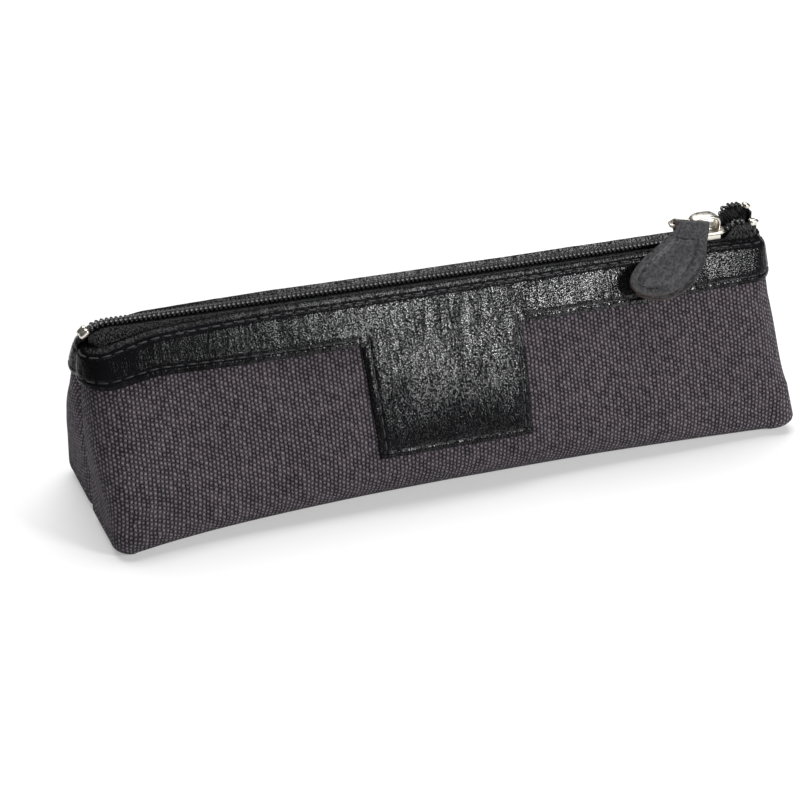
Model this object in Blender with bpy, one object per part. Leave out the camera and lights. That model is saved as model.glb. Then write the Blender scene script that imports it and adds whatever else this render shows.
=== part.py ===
"""A zipped pencil case with a boxed base: canvas panels, leather bands, coil zip, slider and leather puller.

The case stands on its base. X runs along the zip, the front faces -Y, and Z is up. Sizes are in metres.
"""

import math

import bmesh
import bpy
from mathutils import Matrix, Vector

# Body of the case
ZIP_END_SPAN = 0.1966
BASE_LENGTH = 0.1990
BASE_SHIFT = 0.0038
BASE_DEPTH = 0.0435
BASE_SPREAD_LEFT = 0.0045
LEFT_SKEW = 0.0025
END_BULGE = 0.0020
TAPE_HEIGHT = 0.0542
MOUTH_DEPTH = 0.0094
RIGHT_RISE = 0.0041
RIGHT_RISE_LENGTH = 0.0048
EDGE_SINK = 0.0007
EDGE_DROP_LEFT = 0.0032
EDGE_DROP_RIGHT = 0.0007
EDGE_DROP_LENGTH = 0.0200
LOWER_ROUND_MIDDLE = 0.0105
LOWER_ROUND_END = 0.0042
CORNER_ROUND_BASE = 0.0066
CORNER_ROUND_WALL = 0.0095
CORNER_EAR_LEFT = 0.0006
CORNER_EAR_RIGHT = 0.0024
END_VALLEY = 0.0008
REST_GAP = 0.0003
WALL_FULLNESS_SHARE = 1.25
RIDGE_TILT_SHARE = 0.012
RIDGE_SAG = 0.0004
BASE_TAPER_SHARE = 0.014
CORNER_LIMIT_SHARE = 0.8

# Sheets
CANVAS_THICKNESS = 0.0010
LINING_THICKNESS = 0.0004
LEATHER_THICKNESS = 0.0012
TAPE_THICKNESS = 0.0005
LINING_TOP_DROP = 0.0030

# Leather band and tab
BAND_HEIGHT = 0.0118
TAB_WIDTH = 0.0466
TAB_FOOT_WIDTH = 0.0444
TAB_HEIGHT = 0.0302
TAB_CENTRE = -0.0009
STITCH_INSET = 0.0026
TOP_STITCH_INSET = 0.0030
THREAD_RADIUS = 0.00028

# Zip
CHAIN_GAP = 0.0010
COIL_SECTION_SHARES = ((0.0, 0.0), (0.8, 0.0), (1.0, 0.35), (0.85, 0.85), (0.4, 1.0), (0.0, 0.9))
STOP_SECTION_SHARES = ((0.0, 0.0), (1.0, 0.0), (1.0, 0.6), (0.8, 1.0), (0.2, 1.0), (0.0, 0.6))
COIL_WIDTH = 0.0016
COIL_HEIGHT = 0.0014
TAPE_TUCK = 0.0070
TAPE_SHOULDER = 0.0008
END_TURN_LENGTH = 0.0066
END_TURN_DROP = 0.0042
STOP_LENGTH = 0.0027
STOP_HEIGHT = 0.0015
STOP_WIDTH = 0.0024
BOTTOM_STOP_LENGTH = 0.0036
BOTTOM_STOP_HALF = 0.0021
STOP_GAP = 0.0004
OPEN_HALF = 0.0024
OPEN_START = 0.0008
OPEN_LENGTH = 0.0048
REAR_OPEN_RISE = 0.0020
ZIP_END_INSET = 0.0023
ZIP_RIGHT_END = ZIP_END_SPAN / 2 - ZIP_END_INSET

# Slider
SLIDER_REST = 0.0165
SLIDER_PLACE = ZIP_END_SPAN / 2 - SLIDER_REST
SLIDER_LENGTH = 0.0108
SLIDER_WIDTH = 0.0082
LOWER_PLATE_WIDTH = 0.0044
SLIDER_PLATE = 0.0009
SLIDER_CLEARANCE = 0.0004
FLANGE_WALL = 0.0008
BRIDGE_LENGTH = 0.0024
BRIDGE_WIDTH = 0.0005
ARCH_LENGTH = 0.0096
ARCH_HEIGHT = 0.0045
ARCH_WIDTH = 0.0016
ARCH_BAR = 0.0011
ARCH_OFFSET = -0.0004
PLATE_OUTLINE_SHARES = ((-1.0, 0.6), (-0.88, 0.82), (-0.7, 0.92), (0.6, 1.0), (0.84, 0.9), (1.0, 0.6))
ARCH_SHARES = ((-1.0, 0.0), (-0.98, 0.5), (-0.82, 0.82), (-0.5, 0.97), (0.0, 1.0))

# Ring and puller
RING_WIRE = 0.0010
RING_BASE = 0.0114
RING_BACK = 0.0044
RING_DEPTH = 0.0062
RING_LEG = 0.0020
RING_CORNER = 0.0008
RING_HEIGHT = 0.0022
RING_PLACE = -0.0020
RING_PIN_SHARE = 0.60
RING_YAW = math.radians(-12)
RING_PITCH = math.radians(7)
RING_ROLL = math.radians(-3)
PULLER_HOLE = 0.0009
PULLER_LEAF = 0.0011
PULLER_NECK = 0.0094
PULLER_WIDTH = 0.0230
PULLER_LENGTH = 0.0206
PULLER_LEAN = math.radians(45)
PULLER_SLIP = 0.0016
PULLER_DROP = 0.0006
PULLER_STITCH_INSET = 0.0022
PULLER_NECK_STITCH = 0.0034
# The front leaf's outline from the fold down its left side and up its right side, as shares of the leaf's
# width, counted from the middle of the fold, and of its length
PULLER_OUTLINE_SHARES = (
    (-0.31, 0.16), (-0.46, 0.32), (-0.61, 0.47), (-0.73, 0.63), (-0.795, 0.77), (-0.795, 0.88),
    (-0.73, 0.96), (-0.61, 1.0), (-0.46, 0.995), (-0.31, 0.945), (-0.17, 0.85), (-0.06, 0.73),
    (0.025, 0.60), (0.095, 0.45), (0.145, 0.30),
)

OVERRUN = 0.0010


def material(name, colour, roughness, metallic=0.0):
    made = bpy.data.materials.new(name)
    made.use_nodes = True
    shader = made.node_tree.nodes["Principled BSDF"]
    shader.inputs["Base Color"].default_value = (*colour, 1.0)
    shader.inputs["Roughness"].default_value = roughness
    shader.inputs["Metallic"].default_value = metallic
    return made


def add_object(name, bm, finish, smooth=True):
    """A mesh object at the world origin, made from a bmesh."""
    mesh = bpy.data.meshes.new(name)
    bm.to_mesh(mesh)
    bm.free()
    if smooth:
        mesh.shade_smooth()
        mesh.set_sharp_from_angle(angle=math.radians(40))
    mesh.materials.append(finish)
    made = bpy.data.objects.new(name, mesh)
    bpy.context.scene.collection.objects.link(made)
    return made


def clear_scene():
    for item in list(bpy.data.objects):
        bpy.data.objects.remove(item, do_unlink=True)


# The wall of the case is a surface of columns, which run from the left side seam round the front to the right
# side seam, and of levels: -1 to 0 is the rounded lower edge, 0 to 1 the wall up to its top edge.


def lower_round(x):
    share = min(1.0, abs(x) / (BASE_LENGTH / 2))
    return LOWER_ROUND_MIDDLE + (LOWER_ROUND_END - LOWER_ROUND_MIDDLE) * share**2


def parting_place():
    """Where the chains start to part, just past the slider's nose."""
    return SLIDER_PLACE + SLIDER_LENGTH / 2 + OPEN_START


def right_rise(x):
    share = min(1.0, max(0.0, (x - parting_place()) / RIGHT_RISE_LENGTH))
    return RIGHT_RISE * math.sin(share * math.pi / 2) ** 2


def ridge_height(x):
    """Height of the zip tape's middle line, which sags between the ends and rises where the chains part."""
    share = min(1.0, abs(x) / (ZIP_END_SPAN / 2))
    return TAPE_HEIGHT - RIDGE_TILT_SHARE * x - RIDGE_SAG * (1 - share**2) + right_rise(x)


def wall_top(x):
    """Height of the wall's top edge, which drops away from the zip near both ends."""
    share = min(1.0, max(0.0, (abs(x) - ZIP_END_SPAN / 2 + EDGE_DROP_LENGTH) / EDGE_DROP_LENGTH))
    drop = EDGE_DROP_LEFT if x < 0 else EDGE_DROP_RIGHT
    return ridge_height(x) - right_rise(x) - EDGE_SINK - drop * share**2 * (3 - 2 * share)


def wall_height(x, level):
    """Height on the wall. The band and the tab keep their own height, and the canvas below takes the rest."""
    run = wall_top(0.0) - lower_round(0.0)
    if level >= TAB_LEVEL:
        return wall_top(x) - run * (1 - level)
    tab_foot = wall_top(x) - run * (1 - TAB_LEVEL)
    return lower_round(x) + (tab_foot - lower_round(x)) * level / TAB_LEVEL


def half_depth(level, x=0.0):
    lean = 1 - max(level, 0.0) ** WALL_FULLNESS_SHARE
    left_share = max(0.0, -x / (BASE_LENGTH / 2))
    spread = BASE_SPREAD_LEFT * left_share**4 - BASE_TAPER_SHARE * x
    return MOUTH_DEPTH / 2 + ((BASE_DEPTH - MOUTH_DEPTH) / 2 + spread) * lean


def half_length(level):
    up = max(level, 0.0)
    spread = math.sin(up * math.pi / 2)
    return BASE_LENGTH / 2 + (ZIP_END_SPAN - BASE_LENGTH) / 2 * spread + END_BULGE * math.sin(up * math.pi)


def corner_round(level):
    spread = math.sin(min(1.0, 2 * max(level, 0.0)) * math.pi / 2)
    wanted = CORNER_ROUND_BASE + (CORNER_ROUND_WALL - CORNER_ROUND_BASE) * spread
    return min(wanted, CORNER_LIMIT_SHARE * (half_depth(level) - REST_GAP / 2))


def columns():
    ends = [0.0, 0.5]
    arc = [k / 4 for k in range(5)]
    run = [k / 8 for k in range(1, 8)]
    tab = [k / 3 for k in range(4)]
    made = [("left_end", share) for share in ends]
    made += [("left_corner", share) for share in arc]
    made += [("left_run", share) for share in run]
    made += [("tab", share) for share in tab]
    made += [("right_run", share) for share in run]
    made += [("right_corner", share) for share in arc]
    made += [("right_end", 1 - share) for share in reversed(ends)]
    return made


def surface_point(column, level):
    """A point of the outer canvas surface of the front half."""
    stretch, share = column
    angle = (1 + min(level, 0.0)) * math.pi / 2
    end_inset = LOWER_ROUND_END * (1 - math.sin(angle))
    length = half_length(level) - end_inset
    radius = max(corner_round(level) - end_inset, CORNER_ROUND_BASE - LOWER_ROUND_END)

    def depth(x):
        return half_depth(level, x) - lower_round(x) * (1 - math.sin(angle))

    corner_x = radius - length if stretch.startswith("left") else length - radius
    corner_depth = half_depth(level, corner_x) - end_inset
    seam = REST_GAP / 2
    foot_share = min(1.0, max(0.0, (BAND_LEVEL - level) / (BAND_LEVEL - TAB_LEVEL)))
    tab_half = (TAB_WIDTH + (TAB_FOOT_WIDTH - TAB_WIDTH) * foot_share) / 2
    tab_left, tab_right = TAB_CENTRE - tab_half, TAB_CENTRE + tab_half
    ear = CORNER_EAR_LEFT if stretch.startswith("left") else CORNER_EAR_RIGHT
    ear *= math.cos(level * math.pi / 2) ** 2 if level < 0 else max(0.0, 1 - 4 * level) ** 2
    if stretch in ("left_end", "right_end"):
        along = share if stretch == "left_end" else 1 - share
        valley = END_VALLEY * math.sin(math.pi * max(0.0, level))
        x = length - valley * (1 + math.cos(math.pi * along)) / 2
        y = -seam - (corner_depth - radius - seam) * along
        x = -x if stretch == "left_end" else x
    elif stretch in ("left_corner", "right_corner"):
        turn = (share if stretch == "left_corner" else 1 - share) * math.pi / 2
        reach = radius + ear * math.sin(2 * turn)
        x = length - radius + reach * math.cos(turn)
        y = -(corner_depth - radius) - reach * math.sin(turn)
        x = -x if stretch == "left_corner" else x
    else:
        start, end = {
            "left_run": (radius - length, tab_left),
            "tab": (tab_left, tab_right),
            "right_run": (tab_right, length - radius),
        }[stretch]
        x = start + (end - start) * share
        y = -depth(x)
    x += BASE_SHIFT * (1 - math.sin(max(level, 0.0) * math.pi / 2)) * min(1.0, abs(x) / (BASE_LENGTH / 2))
    if level <= 0:
        z = lower_round(x) * (1 - math.cos(angle))
    else:
        z = wall_height(x, level)
    return Vector((x, y, z))


def surface_normal(column, level):
    stretch, share = column
    step = 0.02
    low, high = max(0.0, share - step), min(1.0, share + step)
    floor, roof = (-1.0, 0.0) if level <= 0 else (0.0, 1.0)
    under, over = max(floor, level - step), min(roof, level + step)
    along = surface_point((stretch, high), level) - surface_point((stretch, low), level)
    up = surface_point(column, over) - surface_point(column, under)
    return along.cross(up).normalized()


def settled(point):
    """The left end stands a little askew: its front corner reaches further out than its rear one."""
    left_share = max(0.0, -point.x / (BASE_LENGTH / 2))
    low_share = max(0.0, 1 - point.z / TAPE_HEIGHT)
    turn_share = -point.y / (BASE_DEPTH / 2)
    return Vector((point.x - LEFT_SKEW * left_share**2 * low_share * turn_share, point.y, point.z))


def lifted_point(column, level, lift):
    made = surface_point(column, level) + surface_normal(column, level) * lift
    made.y = min(made.y, -REST_GAP / 2)
    return made


WALL_RUN = math.hypot(wall_top(0.0) - LOWER_ROUND_MIDDLE, (BASE_DEPTH - MOUTH_DEPTH) / 2)
BAND_LEVEL = 1 - BAND_HEIGHT / WALL_RUN
TAB_LEVEL = 1 - (BAND_HEIGHT + TAB_HEIGHT) / WALL_RUN
TUCK_LEVEL = 1 - TAPE_TUCK / WALL_RUN
LINING_LEVEL = 1 - LINING_TOP_DROP / WALL_RUN


def levels(bottom, top):
    """The levels between two others, the same for every sheet, so that neighbouring sheets lie parallel."""
    rounding = [-1.0, -0.66, -0.33, 0.0]
    gaps = 3
    tab_part = [TAB_LEVEL + (BAND_LEVEL - TAB_LEVEL) * k / gaps for k in range(gaps + 1)]
    band_part = [BAND_LEVEL + (1 - BAND_LEVEL) * k / gaps for k in range(1, gaps + 1)]
    inside = [level for level in rounding + tab_part + band_part if bottom < level < top]
    return [bottom] + inside + [top]


def sheet(outer_rows, inner_rows, keep=None, base=False):
    """A closed sheet between two grids of points, with the flat base as one face where asked for."""
    bm = bmesh.new()
    outer = [[bm.verts.new(point) for point in row] for row in outer_rows]
    inner = [[bm.verts.new(point) for point in row] for row in inner_rows]
    facing = {}
    for row, under in zip(outer, inner):
        facing.update(zip(row, under))
    for r in range(len(outer) - 1):
        for c in range(len(outer[0]) - 1):
            if keep is None or keep(r, c):
                bm.faces.new((outer[r][c], outer[r][c + 1], outer[r + 1][c + 1], outer[r + 1][c]))
    if base:
        bm.faces.new(list(reversed(outer[0])))
    rim_loops = [loop for edge in bm.edges if edge.is_boundary for loop in edge.link_loops]
    rims = [(loop.vert, loop.link_loop_next.vert) for loop in rim_loops]
    for face in list(bm.faces):
        bm.faces.new([facing[vert] for vert in reversed(face.verts)])
    for first, second in rims:
        bm.faces.new((second, first, facing[first], facing[second]))
    loose = [vert for vert in bm.verts if not vert.link_faces]
    bmesh.ops.delete(bm, geom=loose, context="VERTS")
    return bm


def placed(bm, rear):
    """The front half as it is or turned to the rear, settled with the rest of the case."""
    if rear:
        bmesh.ops.transform(bm, matrix=Matrix.Diagonal((1, -1, 1, 1)), verts=bm.verts)
        bmesh.ops.reverse_faces(bm, faces=bm.faces)
    for vert in bm.verts:
        vert.co = settled(vert.co)
    return bm


def wall_sheet(name, rear, finish, shown, lift, thickness, keep=None, base=False):
    """A sheet that follows the wall: lift is how far its outer face stands off the canvas."""
    outer = [[lifted_point(column, level, lift) for column in columns()] for level in shown]
    inner = [[lifted_point(column, level, lift - thickness) for column in columns()] for level in shown]
    bm = sheet(outer, inner, keep, base)
    add_object(name, placed(bm, rear), finish)


def canvas_panel(name, rear, finish):
    wall_sheet(name, rear, finish, levels(-1.0, 1.0), 0, CANVAS_THICKNESS, base=True)


def lining_panel(name, rear, finish):
    sink = CANVAS_THICKNESS + REST_GAP + TAPE_THICKNESS + REST_GAP
    wall_sheet(name, rear, finish, levels(-1.0, LINING_LEVEL), -sink, LINING_THICKNESS, base=True)


def leather_band(name, rear, finish):
    """The band along the wall's top edge. The front one carries the tab."""
    shown = levels(BAND_LEVEL, 1.0) if rear else levels(TAB_LEVEL, 1.0)
    places = columns()

    def keep(r, c):
        in_tab = places[c][0] == "tab" and places[c + 1][0] == "tab"
        return shown[r] >= BAND_LEVEL or in_tab

    wall_sheet(name, rear, finish, shown, REST_GAP + LEATHER_THICKNESS, LEATHER_THICKNESS, keep)


def tube(name, points, radius, finish, sides=0, closed=False):
    """A round bar through the points, with flat ends unless it is closed."""
    curve = bpy.data.curves.new(name, "CURVE")
    curve.dimensions = "3D"
    spline = curve.splines.new("POLY")
    spline.points.add(len(points) - 1)
    for place, point in zip(spline.points, points):
        place.co = (*point, 1)
    spline.use_cyclic_u = closed
    curve.bevel_depth = radius
    curve.bevel_resolution = sides
    curve.use_fill_caps = not closed
    curve.materials.append(finish)
    item = bpy.data.objects.new(name, curve)
    bpy.context.scene.collection.objects.link(item)
    return item


def thread(name, points, finish, rear=False):
    """A stitch line of the case as one thin tube."""
    side = -1 if rear else 1
    shown = [settled(Vector((point.x, point.y * side, point.z))) for point in points]
    tube(name, shown, THREAD_RADIUS, finish)


THREAD_LIFT = REST_GAP + LEATHER_THICKNESS + REST_GAP + THREAD_RADIUS


def seam_threads(finish):
    places = [column for column in columns() if column[0] not in ("left_end", "right_end")]
    top_level = 1 - TOP_STITCH_INSET / WALL_RUN
    low_level = BAND_LEVEL + STITCH_INSET / WALL_RUN
    tab_level = TAB_LEVEL + STITCH_INSET / WALL_RUN
    side_share = STITCH_INSET / TAB_WIDTH
    for name, rear in (("front_band_top_thread", False), ("rear_band_top_thread", True)):
        thread(name, [lifted_point(column, top_level, THREAD_LIFT) for column in places], finish, rear)
    thread(
        "rear_band_lower_thread",
        [lifted_point(column, low_level, THREAD_LIFT) for column in places],
        finish,
        rear=True,
    )
    left = [column for column in places if column[0].startswith("left")]
    right = [column for column in places if column[0].startswith("right")]
    down = [low_level + (tab_level - low_level) * k / 3 for k in range(4)]
    across = [side_share + (1 - 2 * side_share) * k / 3 for k in range(4)]
    route = [(column, low_level) for column in left]
    route += [(("tab", side_share), level) for level in down]
    route += [(("tab", share), tab_level) for share in across[1:]]
    route += [(("tab", 1 - side_share), level) for level in reversed(down[:-1])]
    route += [(column, low_level) for column in right]
    seam = [lifted_point(column, level, THREAD_LIFT) for column, level in route]
    thread("front_band_lower_thread", seam, finish)


def open_share(x):
    """How far the two chains have parted, from 0 inside the slider to 1 near the top stops."""
    share = min(1.0, max(0.0, (x - parting_place()) / OPEN_LENGTH))
    return math.sin(share * math.pi / 2) ** 2


def chain_path(rear, closed_count=20, open_count=12):
    """Middle line of one chain's inner edge on the tape, from the left end to the right end."""
    turn = ZIP_END_SPAN / 2 - END_TURN_LENGTH
    right_end = ZIP_END_SPAN / 2
    points = []
    for k in range(5):
        angle = (1 - k / 5) * math.pi / 2 * 0.9
        drop = END_TURN_DROP * (1 - math.cos(angle))
        points.append(Vector((-turn - END_TURN_LENGTH * math.sin(angle), 0, ridge_height(-turn) - drop)))
    parting = parting_place()
    places = [-turn + (parting + turn) * k / closed_count for k in range(closed_count)]
    places += [parting + (right_end - parting) * k / open_count for k in range(open_count + 1)]
    points += [Vector((x, 0, ridge_height(x))) for x in places]
    for point in points:
        parted = open_share(point.x)
        point.y = -CHAIN_GAP / 2 - OPEN_HALF * parted
        if rear:
            point.z += REAR_OPEN_RISE * parted
    return points


def swept(path, section):
    """A bar along a path. The section's first value goes towards -Y, its second away from the tape.

    Right of the middle the section stays upright where the path climbs, so that no ring crosses the next.
    """
    bm = bmesh.new()
    rings = []
    for k, place in enumerate(path):
        ahead = path[min(k + 1, len(path) - 1)] - path[max(k - 1, 0)]
        ahead.y = 0
        if place.x > 0:
            ahead.z = min(ahead.z, 0)
        up = Vector((0, -1, 0)).cross(ahead.normalized())
        rings.append([bm.verts.new(place + Vector((0, -out, 0)) + up * rise) for out, rise in section])
    for ring, after in zip(rings, rings[1:]):
        for k in range(len(section)):
            following = (k + 1) % len(section)
            bm.faces.new((ring[k], ring[following], after[following], after[k]))
    bm.faces.new(rings[0])
    bm.faces.new(list(reversed(rings[-1])))
    bmesh.ops.recalc_face_normals(bm, faces=bm.faces)
    return bm


def path_between(path, start, end):
    """The part of a path between two places along X."""
    inside = [point for point in path if start < point.x < end]
    return [path_point(path, start)] + inside + [path_point(path, end)]


def bottom_stop_end():
    return -ZIP_END_SPAN / 2 + BOTTOM_STOP_LENGTH * 0.7


def zip_coil(name, rear, finish):
    coil_end = ZIP_RIGHT_END - STOP_LENGTH - STOP_GAP
    path = path_between(chain_path(rear), bottom_stop_end() + STOP_GAP, coil_end)
    foot = TAPE_THICKNESS / 2 + REST_GAP
    section = [(COIL_WIDTH * out, foot + COIL_HEIGHT * rise) for out, rise in COIL_SECTION_SHARES]
    bm = swept(path, section)
    add_object(name, placed(bm, rear), finish)


def tape_columns():
    """Columns for a tape, closer together towards both ends, where it bends most."""
    fine = [k / 24 for k in range(1, 25)]
    made = [("left_corner", k / 8) for k in range(1, 9)]
    made += [("left_run", share) for share in fine if share < 0.2 or round(share * 24) % 3 == 0]
    made += [("tab", 1 / 3), ("tab", 2 / 3), ("tab", 1.0)]
    near, far = 3 / 4, 7 / 8
    made += [("right_run", share) for share in fine if share <= near and round(share * 24) % 3 == 0]
    made += [("right_run", share) for share in fine if near < share <= far]
    made += [("right_run", far + (1 - far) * k / 12) for k in range(1, 13)]
    made += [("right_corner", k / 8) for k in range(1, 8)]
    return made


def zip_tape(name, rear, finish):
    """One tape, from its edge under the chain, out to the wall and down between canvas and lining."""
    sink = CANVAS_THICKNESS + REST_GAP
    places = tape_columns()
    path = chain_path(rear)

    def rows(depth, height):
        tucked = levels(TUCK_LEVEL, 1.0)
        made = [[lifted_point(column, level, -depth) for column in places] for level in tucked]
        middle, edge = [], []
        for over in made[-1]:
            near = path_point(path, over.x) + Vector((0, 0, height))
            near_side = -near.y
            width = min(COIL_WIDTH + TAPE_SHOULDER, 0.8 * (-over.y - near_side))
            middle.append(near + Vector((0, -width, 0)))
            edge.append(near)
        return made + [middle, edge]

    bm = sheet(rows(sink, TAPE_THICKNESS / 2), rows(sink + TAPE_THICKNESS, -TAPE_THICKNESS / 2))
    add_object(name, placed(bm, rear), finish)


def path_point(path, x):
    for before, after in zip(path, path[1:]):
        if before.x <= x <= after.x:
            return before.lerp(after, (x - before.x) / (after.x - before.x))
    return (path[0] if x < path[0].x else path[-1]).copy()


def zip_stop(path, side, width):
    """A metal stop pressed over the tape: side is where it starts, width how far it reaches towards -Y."""
    foot = TAPE_THICKNESS / 2 + REST_GAP
    section = [(side + width * out, foot + STOP_HEIGHT * rise) for out, rise in STOP_SECTION_SHARES]
    return swept(path, section)


def zip_stops(finish):
    left = path_between(chain_path(False), -ZIP_END_SPAN / 2, bottom_stop_end())
    for point in left:
        point.y = 0
    add_object("zip_bottom_stop", zip_stop(left, -BOTTOM_STOP_HALF, 2 * BOTTOM_STOP_HALF), finish)
    for name, rear in (("front_top_stop", False), ("rear_top_stop", True)):
        path = path_between(chain_path(rear), ZIP_RIGHT_END - STOP_LENGTH, ZIP_RIGHT_END)
        add_object(name, placed(zip_stop(path, 0, STOP_WIDTH), rear), finish)


def prism(name, outline, low, high, finish):
    """An upright solid over an outline, from one height to another."""
    bm = bmesh.new()
    base = [bm.verts.new((x, y, low)) for x, y in outline]
    roof = [bm.verts.new((x, y, high)) for x, y in outline]
    bm.faces.new(base)
    bm.faces.new(list(reversed(roof)))
    for k in range(len(outline)):
        following = (k + 1) % len(outline)
        bm.faces.new((base[k], roof[k], roof[following], base[following]))
    bmesh.ops.recalc_face_normals(bm, faces=bm.faces)
    return add_object(name, bm, finish)


def combine(item, other, operation):
    """Boolean of two objects, with the other one kept out of the result."""
    other.hide_render = True
    other.display_type = "WIRE"
    step = item.modifiers.new(other.name, "BOOLEAN")
    step.operation = operation
    step.solver = "EXACT"
    step.object = other


def block(name, low, high, finish):
    (x0, y0, z0), (x1, y1, z1) = low, high
    return prism(name, [(x0, y0), (x1, y0), (x1, y1), (x0, y1)], z0, z1, finish)


def plate_outline(length, width):
    near = [(length / 2 * along, -width / 2 * out) for along, out in PLATE_OUTLINE_SHARES]
    return near + [(x, -y) for x, y in reversed(near)]


PLATE_FOOT = TAPE_THICKNESS / 2 + REST_GAP + COIL_HEIGHT + SLIDER_CLEARANCE
PLATE_TOP = PLATE_FOOT + SLIDER_PLATE
RIDGE_TURN = Matrix.Rotation(math.atan(RIDGE_TILT_SHARE), 3, "Y")


def on_ridge(point):
    """From the slider's own frame, which sits on the tape's middle line, to the world."""
    return Vector((SLIDER_PLACE, 0, ridge_height(SLIDER_PLACE))) + RIDGE_TURN @ Vector(point)


def slider_body(finish):
    """Two plates joined by the bridge between the chains, side flanges, and the arch on top."""
    body = prism("slider_body", plate_outline(SLIDER_LENGTH, SLIDER_WIDTH), PLATE_FOOT, PLATE_TOP, finish)
    lower_top = -TAPE_THICKNESS / 2 - SLIDER_CLEARANCE
    lower = plate_outline(SLIDER_LENGTH, LOWER_PLATE_WIDTH)
    parts = [prism("lower_plate_shape", lower, lower_top - SLIDER_PLATE, lower_top, finish)]
    nose = SLIDER_LENGTH / 2 - SLIDER_PLATE
    joined = SLIDER_PLATE / 2
    parts.append(
        block(
            "bridge_shape",
            (nose - BRIDGE_LENGTH, -BRIDGE_WIDTH / 2, lower_top - joined),
            (nose, BRIDGE_WIDTH / 2, PLATE_FOOT + joined),
            finish,
        )
    )
    flange_out = 0.92 * SLIDER_WIDTH / 2
    flange_foot = TAPE_THICKNESS / 2 + SLIDER_CLEARANCE
    for side in (-1, 1):
        near, far = sorted((side * (flange_out - FLANGE_WALL), side * flange_out))
        low = (-0.6 * SLIDER_LENGTH / 2, near, flange_foot)
        high = (0.6 * SLIDER_LENGTH / 2, far, PLATE_FOOT + joined)
        parts.append(block(f"flange_shape_{side}", low, high, finish))
    half = ARCH_LENGTH / 2 - ARCH_BAR / 2
    rise = ARCH_HEIGHT - ARCH_BAR / 2
    shares = list(ARCH_SHARES) + [(-along, up) for along, up in reversed(ARCH_SHARES[:-1])]
    foot = PLATE_TOP - joined
    path = [Vector((ARCH_OFFSET + half * along, 0, foot + (rise + joined) * up)) for along, up in shares]
    wide, thick = ARCH_WIDTH / 2, ARCH_BAR / 2
    section = [(-wide, -thick), (wide, -thick), (wide, thick), (-wide, thick)]
    parts.append(add_object("arch_shape", swept(path, section), finish))
    for part in parts:
        combine(body, part, "UNION")
    for item in [body] + parts:
        item.location = on_ridge((0, 0, 0))
        item.rotation_euler = RIDGE_TURN.to_euler()
    return body


def rounded(corners, radius, steps=4):
    """A closed outline with an arc in place of each corner."""
    made = []
    for k, corner in enumerate(corners):
        before = (corners[k - 1] - corner).normalized()
        after = (corners[(k + 1) % len(corners)] - corner).normalized()
        half = before.angle(after) / 2
        centre = corner + (before + after).normalized() * radius / math.sin(half)
        start = corner + before * radius / math.tan(half) - centre
        end = corner + after * radius / math.tan(half) - centre
        turn = start.angle(end)
        for step in range(steps + 1):
            share = step / steps
            arm = start * math.sin((1 - share) * turn) + end * math.sin(share * turn)
            made.append(centre + arm / math.sin(turn))
    return made


RING_TURN = Matrix.Rotation(RING_YAW, 3, "Z") @ Matrix.Rotation(RING_PITCH, 3, "Y")
RING_FRAME = RING_TURN @ Matrix.Rotation(RING_ROLL, 3, "X")
RING_PIN = on_ridge((RING_PLACE, 0, PLATE_TOP + RING_HEIGHT))
SIDE_START = Vector((RING_BASE / 2, RING_LEG, 0))
PIN_IN_RING = SIDE_START.lerp(Vector((RING_BACK / 2, RING_DEPTH, 0)), RING_PIN_SHARE)
PULLER_PIN = RING_PIN - RING_FRAME @ PIN_IN_RING


def pull_ring(finish):
    """A bent wire with a straight base, short legs and a narrower back. One side passes through the arch."""
    half, back = RING_BASE / 2, RING_BACK / 2
    right = [(half, 0), (half, RING_LEG), (back, RING_DEPTH)]
    outline = right + [(-x, y) for x, y in reversed(right)]
    corners = [Vector((x, y, 0)) for x, y in outline]
    points = [point - PIN_IN_RING for point in rounded(corners, RING_CORNER)]
    ring = tube("pull_ring", points, RING_WIRE / 2, finish, 2, closed=True)
    ring.location = RING_PIN
    ring.rotation_euler = RING_FRAME.to_euler()


def puller_outline(slip, drop):
    """A leaf's outline in its own plane. The rear leaf has slipped a little past the front one."""
    top = -PULLER_HOLE - PULLER_LEAF / 2
    neck = PULLER_NECK / 2
    edge = [(PULLER_WIDTH * across, -PULLER_LENGTH * down) for across, down in PULLER_OUTLINE_SHARES]
    return [Vector((x + slip, z - drop)) for x, z in [(-neck, top)] + edge + [(neck, top)]]


def drawn_in(outline, inset):
    """A closed outline moved inwards by an even inset, for one that runs left side first."""
    made = []
    for k, corner in enumerate(outline):
        before = (corner - outline[k - 1]).normalized()
        after = (outline[(k + 1) % len(outline)] - corner).normalized()
        along = (before + after).normalized()
        inward = Vector((-along.y, along.x))
        made.append(corner + inward * inset / max(0.5, along.dot(after)))
    return made


def leaf_object(name, outline, near, far, finish):
    """A flat slab in the puller's frame: X along the ring's base, Z up the leaf, -Y to the front."""
    bm = bmesh.new()
    front = [bm.verts.new((x, near, z)) for x, z in outline]
    back = [bm.verts.new((x, far, z)) for x, z in outline]
    bm.faces.new(front)
    bm.faces.new(list(reversed(back)))
    for k in range(len(outline)):
        following = (k + 1) % len(outline)
        bm.faces.new((front[following], front[k], back[k], back[following]))
    bmesh.ops.recalc_face_normals(bm, faces=bm.faces)
    return add_object(name, bm, finish)


def barrel(name, radius, length, finish, sides=24):
    """A round bar along X, centred on the puller's pin."""
    bm = bmesh.new()
    bmesh.ops.create_cone(bm, cap_ends=True, segments=sides, radius1=radius, radius2=radius, depth=length)
    bmesh.ops.rotate(bm, verts=bm.verts, matrix=Matrix.Rotation(math.pi / 2, 3, "Y"))
    return add_object(name, bm, finish)


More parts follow.
